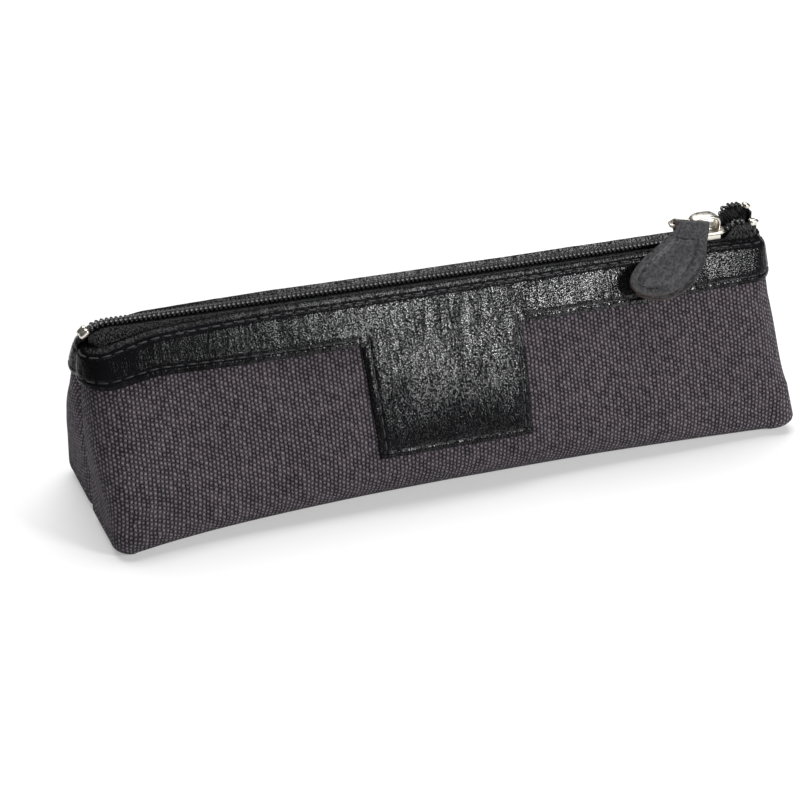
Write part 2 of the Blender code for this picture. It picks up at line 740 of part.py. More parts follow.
def puller(leather, sewing):
    """A strap folded over the ring's base, its two leaves sewn together."""
    frame = RING_FRAME @ Matrix.Rotation(-PULLER_LEAN - RING_ROLL, 3, "X")
    front, rear = puller_outline(0, 0), puller_outline(PULLER_SLIP, PULLER_DROP)
    leaf = leaf_object("puller_leather", front, -PULLER_LEAF, 0, leather)
    under = leaf_object("rear_leaf_shape", rear, -PULLER_LEAF / 2, PULLER_LEAF, leather)
    fold = barrel("fold_shape", PULLER_HOLE + PULLER_LEAF, PULLER_NECK, leather)
    hole = barrel("ring_hole_shape", PULLER_HOLE, PULLER_NECK + 2 * OVERRUN, leather)
    combine(leaf, under, "UNION")
    combine(leaf, fold, "UNION")
    combine(leaf, hole, "DIFFERENCE")
    lift = -PULLER_LEAF - REST_GAP - THREAD_RADIUS
    loop = [place for place in drawn_in(front, PULLER_STITCH_INSET) if place.y < -PULLER_NECK_STITCH]
    seam = [Vector((x, lift, z)) for x, z in loop]
    stitches = tube("puller_thread", seam, THREAD_RADIUS, sewing, closed=True)
    for item in (leaf, under, fold, hole, stitches):
        item.location = PULLER_PIN
        item.rotation_euler = frame.to_euler()


# How far the middle of the whole case lies from the middle of the zip
LEFT_REACH = ZIP_END_SPAN / 2 + THREAD_LIFT + THREAD_RADIUS + END_BULGE / 2
RIGHT_REACH = BASE_LENGTH / 2 + BASE_SHIFT + CORNER_EAR_RIGHT / 2
CASE_SHIFT = (RIGHT_REACH - LEFT_REACH) / 2


def main():
    clear_scene()
    canvas = material("grey canvas", (0.102, 0.087, 0.102), 0.9)
    lining = material("black lining", (0.012, 0.012, 0.012), 0.8)
    leather = material("black grained leather", (0.010, 0.010, 0.010), 0.4)
    strap = material("charcoal leather", (0.055, 0.055, 0.058), 0.6)
    tape = material("black zip tape", (0.010, 0.010, 0.010), 0.85)
    nylon = material("black nylon coil", (0.008, 0.008, 0.008), 0.35)
    sewing = material("black sewing thread", (0.012, 0.012, 0.012), 0.6)
    metal = material("nickel-plated zinc", (0.75, 0.72, 0.68), 0.25, 1.0)
    for side, rear in (("front", False), ("rear", True)):
        canvas_panel(f"{side}_canvas_panel", rear, canvas)
        lining_panel(f"{side}_lining_panel", rear, lining)
        leather_band(f"{side}_leather_band", rear, leather)
        zip_tape(f"{side}_zip_tape", rear, tape)
        zip_coil(f"{side}_zip_coil", rear, nylon)
    seam_threads(sewing)
    zip_stops(metal)
    slider_body(metal)
    pull_ring(metal)
    puller(strap, sewing)
    for item in bpy.data.objects:
        item.location.x -= CASE_SHIFT


main()
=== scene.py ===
"""A zipped pencil case in grey canvas with black leather bands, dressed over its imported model.

X runs along the zip, the front faces -Y, and Z is up. Sizes are in metres.
"""

import bisect
import math

import bmesh
import bpy
from bpy.props import FloatProperty, PointerProperty, StringProperty
from mathutils import Matrix, Vector, noise


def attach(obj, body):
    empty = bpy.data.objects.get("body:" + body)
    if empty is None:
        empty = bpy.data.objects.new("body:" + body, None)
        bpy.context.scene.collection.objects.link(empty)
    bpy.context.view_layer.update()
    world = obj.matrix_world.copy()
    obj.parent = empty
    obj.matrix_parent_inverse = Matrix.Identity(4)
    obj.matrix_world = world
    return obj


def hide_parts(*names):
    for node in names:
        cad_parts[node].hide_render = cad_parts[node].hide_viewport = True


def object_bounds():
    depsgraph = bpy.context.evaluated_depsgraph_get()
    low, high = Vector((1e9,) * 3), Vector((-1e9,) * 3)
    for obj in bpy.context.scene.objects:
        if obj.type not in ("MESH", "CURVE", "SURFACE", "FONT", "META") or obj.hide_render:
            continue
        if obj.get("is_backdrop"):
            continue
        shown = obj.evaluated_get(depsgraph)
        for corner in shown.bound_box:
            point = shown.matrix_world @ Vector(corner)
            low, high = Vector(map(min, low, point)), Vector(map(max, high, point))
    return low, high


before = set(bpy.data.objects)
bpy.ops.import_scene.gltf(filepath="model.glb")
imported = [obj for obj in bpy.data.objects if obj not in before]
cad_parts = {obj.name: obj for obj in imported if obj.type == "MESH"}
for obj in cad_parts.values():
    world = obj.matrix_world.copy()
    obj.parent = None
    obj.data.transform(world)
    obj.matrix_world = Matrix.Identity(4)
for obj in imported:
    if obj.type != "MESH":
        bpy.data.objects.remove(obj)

bl_info = {
    "name": "Canvas pencil case",
    "version": (1, 0, 0),
    "blender": (4, 5, 0),
    "location": "View3D > Sidebar > Pencil case",
    "description": "Models the cloth, leather, zip and puller of a boxed pencil case",
    "category": "Object",
}

CAD_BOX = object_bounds()


def length(name, default, text):
    """A size in metres, shown in the sidebar."""
    return FloatProperty(name=name, description=text, default=default, unit="LENGTH", precision=5)


class CaseSizes(bpy.types.PropertyGroup):
    """Sizes of the sewn case"""

    zip_span: length("Zip span", 0.1966, "Length of the case along its top edges")
    base_length: length("Base length", 0.1990, "Length of the base")
    base_shift: length("Base shift", 0.0038, "How far the base leans out at the ends")
    base_depth: length("Base depth", 0.0435, "Depth of the base, front to rear")
    spread_left: length("Left spread", 0.0045, "Extra depth of the base at the left end")
    left_skew: length("Left skew", 0.0025, "How far the left end stands askew")
    end_bulge: length("End bulge", 0.0020, "How far the ends swell half way up")
    tape_height: length("Tape height", 0.0542, "Height of the zip tape's middle line")
    mouth_depth: length("Mouth depth", 0.0094, "Depth of the case at its top edges")
    ridge_sag: length("Ridge sag", 0.0004, "How far the zip sags between its ends")
    right_rise: length("Right rise", 0.0041, "How far the tape rises where the chains part")
    right_rise_length: length("Rise length", 0.0038, "Length over which the tape rises")
    edge_sink: length("Edge sink", 0.0007, "How far the wall's edge lies below the tape")
    edge_drop_left: length("Left edge drop", 0.0032, "How far the wall's edge drops at the left end")
    edge_drop_right: length("Right edge drop", 0.0007, "How far the wall's edge drops at the right end")
    edge_drop_length: length("Edge drop length", 0.0200, "Length over which the edge drops")
    round_middle: length("Middle rounding", 0.0105, "Radius of the lower edge in the middle")
    round_end: length("End rounding", 0.0042, "Radius of the lower edge at the ends")
    corner_base: length("Base corner", 0.0066, "Radius of the upright corners at the base")
    corner_wall: length("Wall corner", 0.0095, "Radius of the upright corners higher up")
    ear_left: length("Left ear", 0.0006, "How far the left corners stick out at the base")
    ear_right: length("Right ear", 0.0024, "How far the right corners stick out at the base")
    end_valley: length("End valley", 0.0008, "Depth of the valley at the side seams")
    seam_gap: length("Seam gap", 0.0003, "Gap between the front and the rear half")
    canvas: length("Canvas", 0.0010, "Thickness of the canvas")
    lining: length("Lining", 0.0004, "Thickness of the lining")
    leather: length("Leather", 0.0012, "Thickness of the leather bands")
    tape: length("Tape", 0.0005, "Thickness of the zip tape")
    turned_edge: length("Turned edge", 0.0016, "How far the band is turned down behind")
    band_over: length("Band overhang", 0.0015, "How far the band stands above the canvas' top edge")
    band_over_length: length("Overhang length", 0.0550, "Length over which the overhang grows")
    band_lean: length("Band lean", 0.0013, "How far the band's top edge leans in towards the zip")
    band_height: length("Band height", 0.0118, "Height of the leather band")
    band_narrow_left: length("Left narrowing", 0.0013, "How much the band narrows at its left end")
    band_narrow_right: length("Right narrowing", 0.0016, "How much the band narrows at its right end")
    tab_width: length("Tab width", 0.0466, "Width of the tab where it leaves the band")
    tab_foot_width: length("Tab foot width", 0.0444, "Width of the tab at its foot")
    tab_height: length("Tab height", 0.0302, "Height of the tab below the band")
    tab_offset: length("Tab offset", 0.0009, "How far the tab lies left of the middle")
    stitch_inset: length("Stitch inset", 0.0019, "Distance of the lower stitches from the edge")
    top_stitch_left: length("Top stitches left", 0.0026, "Distance from the edge at the left")
    top_stitch_right: length("Top stitches right", 0.0015, "Distance from the edge at the right")
    stitch_pitch: length("Stitch pitch", 0.0034, "Distance from stitch to stitch")
    thread: length("Thread radius", 0.00024, "Radius of the sewing thread")


class ZipSizes(bpy.types.PropertyGroup):
    """Sizes of the zip, its slider and its ring"""

    chain_gap: length("Chain gap", 0.0010, "Gap between the edges of the two tapes")
    coil_pitch: length("Coil pitch", 0.0013, "Distance from turn to turn of one coil")
    coil_width: length("Coil width", 0.0013, "Width of one coil on its tape")
    coil_height: length("Coil height", 0.0012, "Height of one coil")
    coil_wire: length("Coil wire", 0.00045, "Radius of the nylon wire")
    coil_lock: length("Coil lock", 0.0010, "How far each coil reaches into the other")
    tape_tuck: length("Tape tuck", 0.0070, "How far the tape runs down behind the wall")
    tape_shoulder: length("Tape shoulder", 0.0008, "Flat edge of the tape beside the coil")
    turn_length: length("End turn length", 0.0066, "Length over which the left end turns down")
    turn_drop: length("End turn drop", 0.0042, "How far the left end turns down")
    open_half: length("Opening", 0.0024, "How far each chain parts at the right end")
    open_start: length("Opening start", -0.0012, "Where the chains part, past the slider's nose")
    open_length: length("Opening length", 0.0042, "Length over which the chains part")
    rear_fall: length("Rear fall", 0.0024, "How far the rear chain falls again at its end")
    fall_length: length("Fall length", 0.0050, "Length over which it falls")
    rear_rise: length("Rear rise", 0.0022, "How much higher the rear chain ends")
    end_inset: length("End inset", 0.0023, "Distance of the top stops from the tape's end")
    stop_length: length("Top stop length", 0.0027, "Length of a top stop")
    stop_width: length("Top stop width", 0.0024, "Width of a top stop")
    stop_height: length("Stop height", 0.0018, "Height of a stop")
    bottom_length: length("Bottom stop length", 0.0030, "Length of the bottom stop")
    bottom_half: length("Bottom stop half", 0.0018, "Half the width of the bottom stop")
    slider_rest: length("Slider rest", 0.0165, "Distance of the slider from the zip's right end")
    slider_length: length("Slider length", 0.0108, "Length of the slider")
    slider_width: length("Slider width", 0.0072, "Width of the upper plate")
    lower_width: length("Lower plate width", 0.0044, "Width of the lower plate")
    plate: length("Plate", 0.0009, "Thickness of the slider's plates")
    clearance: length("Clearance", 0.0004, "Gap between chain and plate")
    arch_length: length("Arch length", 0.0096, "Length of the arch that holds the ring")
    arch_height: length("Arch height", 0.0045, "Height of the arch over the plate")
    arch_width: length("Arch width", 0.0044, "Width of the arch at its top")
    arch_bar: length("Arch bar", 0.0012, "Thickness of the arch")
    ring_wire: length("Ring wire", 0.0010, "Diameter of the ring's wire")
    ring_base: length("Ring base", 0.0114, "Length of the ring's base")
    ring_back: length("Ring back", 0.0070, "Length of the ring's narrower back")
    ring_depth: length("Ring depth", 0.0046, "Distance from the base to the ring's back")
    ring_leg: length("Ring leg", 0.0020, "Length of the ring's short legs")
    ring_corner: length("Ring corner", 0.0008, "Bend radius of the ring's corners")
    ring_height: length("Ring height", 0.0022, "Height of the ring over the plate")
    ring_place: length("Ring place", 0.0020, "Distance of the ring left of the slider's middle")


class PullerSizes(bpy.types.PropertyGroup):
    """Sizes of the leather puller"""

    hole: length("Hole", 0.0009, "Radius of the fold's inside")
    leaf: length("Leaf", 0.0011, "Thickness of one leaf")
    neck: length("Neck", 0.0094, "Width of the fold")
    width: length("Width", 0.0230, "Width that the outline's shares are counted in")
    drop_length: length("Length", 0.0206, "Length of the leaf below the fold")
    slip: length("Slip", 0.0016, "How far the rear leaf has slipped sideways")
    drop: length("Drop", 0.0006, "How far the rear leaf hangs lower")
    stitch_inset: length("Stitch inset", 0.0022, "Distance of the stitches from the edge")
    stitch_pitch: length("Stitch pitch", 0.0026, "Distance from stitch to stitch")
    neck_stitch: length("Neck stitch", 0.0036, "Distance of the cross stitches from the fold")


def colour(name, default, text):
    """An sRGB hex colour, shown in the sidebar."""
    return StringProperty(name=name, description=text, default=default)


class CaseColours(bpy.types.PropertyGroup):
    """Colours of the cloth, leather, zip and floor"""

    canvas_thread: colour("Canvas thread", "8a8089", "Top of the canvas threads")
    canvas_gap_shade: colour("Canvas gap", "070507", "Shade between the canvas threads")
    band: colour("Band leather", "121214", "Grained leather of the bands")
    puller_face: colour("Puller leather", "38383b", "Smooth leather of the puller")
    raw_edge: colour("Raw edge", "5a483c", "Cut edge of the puller's leather")
    tape: colour("Zip tape", "2a2a2d", "Woven zip tape")
    nylon: colour("Nylon", "17171a", "Coil wire")
    thread: colour("Thread", "222227", "Sewing thread")
    lining: colour("Lining", "1c1c1f", "Lining cloth")
    nickel: colour("Nickel", "d9d4ca", "Nickel plating")
    floor: colour("Floor", "f4f4f5", "Floor under the case")


SIDES = (("front", False), ("rear", True))
SMOOTH_ANGLE = math.radians(50)

# Shares of the wall's form.
RIDGE_TILT_SHARE = 0.012
TAPER_SHARE = 0.014
FULLNESS_SHARE = 1.25
CORNER_LIMIT_SHARE = 0.8
NARROW_FROM_SHARE, NARROW_POWER = 0.55, 1.5
REAR_LEAN_SHARE = 0.2
TAPE_SHELF_SHARE = 0.8
EAR_LEVEL = 0.25
ROOF_LEVEL = 1.1
SAMPLE = 0.02

# How finely each sheet is divided: columns in an end, a corner, a run and the tab, then rows.
CANVAS_COLUMNS, CANVAS_ROWS = (6, 10, 44, 24), (12, 5, 26, 6)
LINING_COLUMNS, LINING_ROWS = (3, 5, 14, 8), (6, 14)
BAND_COLUMNS, BAND_ROWS, TAB_ROWS = (4, 8, 110, 100), 36, 80
STITCH_COLUMNS, TAPE_COLUMNS = (4, 10, 60, 24), (2, 12, 80, 10)
TAPE_ROWS, CLIMB_COLUMN = 6, 60
COIL_STEPS, COIL_SIDES, TURN_POINTS, RING_SIDES = 900, 6, 14, 14
SEAM_DOWN, SEAM_ACROSS = 16, 20

# Depths and widths of the swells, waves and draws in the cloth and the leather. The seeds are for the
# front and the rear, and the waves are counted to a metre in each direction.
CANVAS_SEEDS, CANVAS_WAVES, CANVAS_RIPPLES = (0.0, 7.3), (34, 30, 46), (95, 90, 120)
BAND_SEEDS, BAND_WAVES, BAND_PUCKERS = (11.0, 3.1), (60, 110), (290, 60)
CANVAS_HELD = 0.8
CANVAS_SWELL, CANVAS_RIPPLE = 0.00045, 0.00010
SEAM_DRAW, SEAM_WIDTH = 0.0009, 0.0011
HEM_DRAW, HEM_WIDTH, HEM_LEVEL = 0.0004, 0.0012, 0.02
BAND_WAVE, BAND_PUCKER, BAND_CLEAR = 0.00013, 0.00006, 0.00005
GROOVE, GROOVE_WIDTH = 0.00028, 0.00045
THIN_EDGE, THIN_WIDTH, LEAN_WIDTH = 0.00045, 0.0007, 0.0018
LINING_DROP = 0.0030

# Radius and sharpest angle of the leather's rounded edges.
BAND_EDGE, LEAF_EDGE = (0.00030, math.radians(60), 3), (0.00018, math.radians(55), 2)

# A stitch: its share of the pitch, and each point's place along it, rise and girth in thread radii.
STITCH_SHARE, STITCH_SINK = 0.80, 0.00008
STITCH_FORM = (
    (-0.5, -1.32, 0.7), (-0.42, 0.0, 1.0), (-0.2, 0.75, 1.05),
    (0.2, 0.75, 1.05), (0.42, 0.0, 1.0), (0.5, -1.32, 0.7),
)

# The stops and the coils as shares of their own length, width and height.
STOP_ROUND_SHARE, CLIP_LENGTH_SHARE, REAR_INSET_SHARE = 0.42, 0.85, 0.45
BOTTOM_PLACE_SHARE, LOBE_WIDTH_SHARE = 0.36, 1.04
BAR_LENGTH_SHARE, BAR_WIDTH_SHARE, BAR_HEIGHT_SHARE, BAR_SINK_SHARE = 0.7, 1.2, 0.6, 0.2
COIL_START_SHARE, COIL_SQUARE = 0.7, 0.75

# The slider's plate and arch as shares of half their length, width and height.
PLATE_SHARES = (
    (-0.72, 0.0), (-0.71, 0.40), (-0.64, 0.74), (-0.5, 0.90), (0.0, 0.98),
    (0.6, 1.0), (0.84, 0.88), (0.97, 0.5), (1.0, 0.0),
)
ARCH_SHARES = ((-1.0, 0.0), (-0.99, 0.35), (-0.93, 0.62), (-0.8, 0.82), (-0.5, 0.96), (0.0, 1.0))
ARCH_SHIFT, ARCH_FOOT_SHARE, ARCH_SIDES, ARCH_SQUARE = 0.0004, 0.72, 16, (0.7, 0.85)
BRIDGE_LENGTH, BRIDGE_WIDTH = 0.0024, 0.0005
FLANGE_LENGTH_SHARE, FLANGE_WIDTH_SHARE, FLANGE_OUT_SHARE = 0.66, 0.88, 0.92
PLATE_ROUND, LOWER_ROUND, FLANGE_ROUND, BRIDGE_ROUND = 0.00038, 0.0003, 0.00035, 0.0001

# The ring and the puller.
PIN_SHARE = 0.97
RING_YAW, RING_PITCH, RING_ROLL = math.radians(-12), math.radians(7), math.radians(-3)
PULLER_LEAN = math.radians(45)
PULLER_ACROSS, PULLER_DOWN, FOLD_STEPS, CURVE_STEPS = 44, 54, 12, (4, 6)
PULLER_BOW, PULLER_GAP, PULLER_LOW_SHARE = 0.0005, 0.00002, 0.9985
PAD_RISE, PAD_LENGTH, PAD_GROOVE = 0.00042, 0.0026, 0.00022
SLIP_SHARE, LEAF_SHARE, SEAM_LIFT = 2.2, 0.94, 0.0002
PULLER_OUTLINE_SHARES = (
    (-0.31, 0.16), (-0.46, 0.32), (-0.61, 0.47), (-0.73, 0.63), (-0.795, 0.77), (-0.795, 0.88),
    (-0.73, 0.96), (-0.61, 1.0), (-0.46, 0.995), (-0.31, 0.945), (-0.17, 0.85), (-0.06, 0.73),
    (0.025, 0.60), (0.095, 0.45), (0.145, 0.30),
)

# Each light: its place, what it aims at, its width and depth, and its power.
LIGHTS = {
    "overhead_softbox": ((0.10, 0.75, 1.8), (0, 0, 0), (2.2, 1.8), 58.0),
    "key_softbox": ((0.43, -0.68, 0.40), (0, 0, 0.04), (0.25, 0.17), 5.0),
}
ROOM_LIGHT, FLOOR_GLOW, FLOOR_SIZE = 0.10, 0.34, 8.0

# The camera: turned round the case, lifted and tilted, with its focal length and its centre in pixels.
CAMERA_TURN, CAMERA_LIFT, CAMERA_TILT = math.radians(-25.58), math.radians(27.35), math.radians(-3.0)
CAMERA_DISTANCE, CAMERA_AIM, SENSOR = 1.092, 0.03, 36.0
PICTURE, FOCAL, CENTRE_X, CENTRE_Y = 800, 4070, 427.1, 358.3


def case():
    """The sizes of the sewn case."""
    return bpy.context.scene.case_sizes


def zip_sizes():
    """The sizes of the zip."""
    return bpy.context.scene.zip_sizes


def clamp(value):
    """The value, held between 0 and 1."""
    return min(1.0, max(0.0, value))


def eased(share):
    """A share from 0 to 1 that starts and ends gently."""
    return share**2 * (3 - 2 * share)


def bell(distance, width):
    """1 on a line, and soon 0 beside it."""
    return math.exp(-((distance / width) ** 2))


def squared(value, power):
    """A sine or cosine pushed outwards, so that its circle becomes a rounded square."""
    return math.copysign(abs(value) ** power, value)


def spread(start, end, count):
    """Evenly spaced places from start to end."""
    return [start + (end - start) * k / count for k in range(count + 1)]


def lengths(points):
    """The distance run along a line at each of its points."""
    made = [0.0]
    for before, after in zip(points, points[1:]):
        made.append(made[-1] + (after - before).length)
    return made


class Wall:
    """The outer face of the canvas as a surface of columns and levels.

    A column is a stretch of the outline and a share of it, from the left side seam round the front to
    the right one. Levels -1 to 0 are the rounded lower edge, and 0 to 1 the wall up to its top edge.
    """

    def __init__(self):
        for group in (case(), zip_sizes()):
            for name in type(group).__annotations__:
                setattr(self, name, getattr(group, name))
        self.slider_place = self.zip_span / 2 - self.slider_rest
        self.run = math.hypot(self.top(0.0) - self.round_middle, (self.base_depth - self.mouth_depth) / 2)
        self.band_level = 1 - self.band_height / self.run
        self.tab_level = 1 - (self.band_height + self.tab_height) / self.run
        self.tuck_level = 1 - self.tape_tuck / self.run
        left = self.zip_span / 2 + 2 * self.seam_gap + self.leather + 2 * self.thread + self.end_bulge / 2
        right = self.base_length / 2 + self.base_shift + self.ear_right / 2
        self.shift = (right - left) / 2

    def lower_round(self, x):
        """Radius of the lower edge."""
        share = clamp(abs(x) / (self.base_length / 2))
        return self.round_middle + (self.round_end - self.round_middle) * share**2

    def parting(self):
        """Where the chains start to part."""
        return self.slider_place + self.slider_length / 2 + self.open_start

    def rise(self, x):
        """How far the tape rises past the slider."""
        share = clamp((x - self.parting()) / self.right_rise_length)
        return self.right_rise * math.sin(share * math.pi / 2) ** 2

    def ridge(self, x):
        """Height of the tape's middle line."""
        share = clamp(abs(x) / (self.zip_span / 2))
        return self.tape_height - RIDGE_TILT_SHARE * x - self.ridge_sag * (1 - share**2) + self.rise(x)

    def top(self, x):
        """Height of the wall's top edge."""
        share = clamp((abs(x) - self.zip_span / 2) / self.edge_drop_length + 1)
        drop = self.edge_drop_left if x < 0 else self.edge_drop_right
        return self.ridge(x) - self.rise(x) - self.edge_sink - drop * eased(share)

    def height(self, x, level):
        """Height of a level above the lower edge."""
        run = self.top(0.0) - self.lower_round(0.0)
        if level >= self.tab_level:
            return self.top(x) - run * (1 - level)
        foot = self.top(x) - run * (1 - self.tab_level)
        return self.lower_round(x) + (foot - self.lower_round(x)) * level / self.tab_level

    def half_depth(self, level, x=0.0):
        """Distance of the wall from the case's middle."""
        lean = 1 - max(level, 0.0) ** FULLNESS_SHARE
        left = max(0.0, -x / (self.base_length / 2))
        spread = self.spread_left * left**4 - TAPER_SHARE * x
        return self.mouth_depth / 2 + ((self.base_depth - self.mouth_depth) / 2 + spread) * lean

    def half_length(self, level):
        """Distance of the ends from the case's middle."""
        up = max(level, 0.0)
        grown = (self.zip_span - self.base_length) / 2 * math.sin(up * math.pi / 2)
        return self.base_length / 2 + grown + self.end_bulge * math.sin(up * math.pi)

    def corner(self, level):
        """Radius of the upright corners."""
        share = math.sin(clamp(2 * level) * math.pi / 2)
        wanted = self.corner_base + (self.corner_wall - self.corner_base) * share
        return min(wanted, CORNER_LIMIT_SHARE * (self.half_depth(level) - self.seam_gap / 2))

    def point(self, column, level):
        """The wall's point at a column and a level."""
        stretch, share = column
        angle = (1 + min(level, 0.0)) * math.pi / 2
        inset = self.round_end * (1 - math.sin(angle))
        reach = self.half_length(level) - inset
        radius = max(self.corner(level) - inset, self.corner_base - self.round_end)
        left = stretch.startswith("left")
        corner_x = radius - reach if left else reach - radius
        corner_y = self.half_depth(level, corner_x) - inset
        seam = self.seam_gap / 2
        foot = clamp((self.band_level - level) / (self.band_level - self.tab_level))
        tab_half = (self.tab_width + (self.tab_foot_width - self.tab_width) * foot) / 2
        ear = self.ear_left if left else self.ear_right
        ear *= math.cos(level * math.pi / 2) ** 2 if level < 0 else clamp(1 - level / EAR_LEVEL) ** 2
        if stretch.endswith("end"):
            along = share if left else 1 - share
            valley = self.end_valley * math.sin(math.pi * max(0.0, level))
            x = reach - valley * (1 + math.cos(math.pi * along)) / 2
            y = -seam - (corner_y - radius - seam) * along
            x = -x if left else x
        elif stretch.endswith("corner"):
            turn = (share if left else 1 - share) * math.pi / 2
            arm = radius + ear * math.sin(2 * turn)
            x = reach - radius + arm * math.cos(turn)
            y = -(corner_y - radius) - arm * math.sin(turn)
            x = -x if left else x
        else:
            ends = {
                "left_run": (radius - reach, -self.tab_offset - tab_half),
                "tab": (-self.tab_offset - tab_half, -self.tab_offset + tab_half),
                "right_run": (-self.tab_offset + tab_half, reach - radius),
            }[stretch]
            x = ends[0] + (ends[1] - ends[0]) * share
            y = self.lower_round(x) * (1 - math.sin(angle)) - self.half_depth(level, x)
        lean_out = self.base_shift * (1 - math.sin(max(level, 0.0) * math.pi / 2))
        x += lean_out * clamp(abs(x) / (self.base_length / 2))
        z = self.lower_round(x) * (1 - math.cos(angle)) if level <= 0 else self.height(x, level)
        return Vector((x, y, z))

    def normal(self, column, level):
        """The way the wall faces, read from points close by that are on the same side of level 0."""
        stretch, share = column
        low, high = clamp(share - SAMPLE), clamp(share + SAMPLE)
        floor, roof = (-1.0, 0.0) if level <= 0 else (0.0, ROOF_LEVEL)
        along = self.point((stretch, high), level) - self.point((stretch, low), level)
        above, below = min(roof, level + SAMPLE), max(floor, level - SAMPLE)
        up = self.point(column, above) - self.point(column, below)
        return along.cross(up).normalized()

    def lifted(self, column, level, lift):
        """A point that stands off the wall, on its own side of the seam."""
        made = self.point(column, level) + self.normal(column, level) * lift
        made.y = min(made.y, -self.seam_gap / 2)
        return made

    def placed(self, point, rear=False):
        """From the front half to where the piece stands: turned to the rear, settled and centred."""
        y = -point.y if rear else point.y
        left = max(0.0, -point.x / (self.base_length / 2))
        low = max(0.0, 1 - point.z / self.tape_height)
        skew = self.left_skew * left**2 * low * -y / (self.base_depth / 2)
        return Vector((point.x - skew - self.shift, y, point.z))

    def overhang(self, x):
        """How far the band stands above the canvas: nothing at the left end."""
        return self.band_over * eased(clamp((x + self.zip_span / 2) / self.band_over_length))

    def band_top(self, column):
        """Level of the band's top edge."""
        return 1 + self.overhang(self.point(column, 1.0).x) / self.run

    def band_foot(self, column):
        """Level of the band's lower edge: the band is less high towards its ends."""
        x = self.point(column, self.band_level).x
        share = clamp((abs(x) / (self.zip_span / 2) - NARROW_FROM_SHARE) / (1 - NARROW_FROM_SHARE))
        narrow = self.band_narrow_left if x < 0 else self.band_narrow_right
        return self.band_level + narrow * share**NARROW_POWER / self.run

    def top_stitch(self, x):
        """Distance of the top stitches from the band's edge."""
        share = clamp(0.5 + x / self.zip_span)
        return self.top_stitch_left + (self.top_stitch_right - self.top_stitch_left) * share

    def from_top(self, level):
        """Distance below the wall's top edge, measured on the wall."""
        return (1 - level) * self.run if level > 0 else self.run - level * self.round_middle * math.pi / 2

    def chain(self, x, rear):
        """A point of one chain's inner edge, on the tape's middle."""
        turn = self.zip_span / 2 - self.turn_length
        if x < -turn:
            lean = math.asin(min(1.0, (-turn - x) / self.turn_length))
            return Vector((x, -self.chain_gap / 2, self.ridge(-turn) - self.turn_drop * (1 - math.cos(lean))))
        share = clamp((x - self.parting()) / self.open_length)
        parted = math.sin(share * math.pi / 2) ** 2
        fallen = clamp((x - self.zip_span / 2) / self.fall_length + 1)
        rise = self.rear_rise * parted - self.rear_fall * fallen**2 if rear else 0.0
        return Vector((x, -self.chain_gap / 2 - self.open_half * parted, self.ridge(x) + rise))

    def chain_up(self, x, rear):
        """Direction away from the tape at a place of the chain."""
        ahead = self.chain(x + self.coil_wire, rear) - self.chain(x - self.coil_wire, rear)
        ahead.y = 0
        return Vector((0, -1, 0)).cross(ahead.normalized())

    def on_ridge(self, point):
        """From the slider's own frame to where it stands."""
        turn = Matrix.Rotation(math.atan(RIDGE_TILT_SHARE), 3, "Y")
        foot = Vector((self.slider_place - self.shift, 0, self.ridge(self.slider_place)))
        return foot + turn @ Vector(point)


def columns(end, corner, run, tab):
    """The columns of the wall, close enough together for cloth to fold between them."""
    counts = {"end": end, "corner": corner, "run": run}
    made = []
    for part, count in counts.items():
        made += [(f"left_{part}", share) for share in spread(0, 1, count)[:-1]]
    made += [("tab", share) for share in spread(0, 1, tab)]
    for part, count in reversed(counts.items()):
        made += [(f"right_{part}", share) for share in spread(0, 1, count)[1:]]
    return made


def open_columns(counts):
    """The columns without the ends."""
    return [column for column in columns(*counts) if not column[0].endswith("end")]


def linear(text):
    """An sRGB hex colour as linear red, green, blue and alpha."""
    parts = [int(text[k : k + 2], 16) / 255 for k in (0, 2, 4)]
    return (*[part / 12.92 if part <= 0.04045 else ((part + 0.055) / 1.055) ** 2.4 for part in parts], 1.0)


def fill(made, inputs):
    """Links or fills a node's inputs."""
    for key, value in dict(inputs).items():
        if isinstance(value, bpy.types.NodeSocket):
            made.id_data.links.new(value, made.inputs[key])
        else:
            made.inputs[key].default_value = value


def node(tree, kind, inputs=(), stops=(), **settings):
    """Adds a node, sets it up, links or fills its inputs, and gives its first output.

    Stops are the places of a colour ramp and their hex colours.
    """
    made = tree.nodes.new("ShaderNode" + kind)
    for name, value in settings.items():
        setattr(made, name, value)
    for k, (place, text) in enumerate(stops):
        made.color_ramp.elements[k].position = place
        made.color_ramp.elements[k].color = linear(text)
    fill(made, inputs)
    return made.outputs[0]


def new_material(name):
    """A new material, its node tree, its shader and the case's colours."""
    made = bpy.data.materials.new(name)
    made.use_nodes = True
    return made, made.node_tree, made.node_tree.nodes["Principled BSDF"], bpy.context.scene.case_colours


MADE = {}


def shared(maker):
    """One material for all the pieces of the same stuff."""
    if maker not in MADE:
        MADE[maker] = maker()
    return MADE[maker]


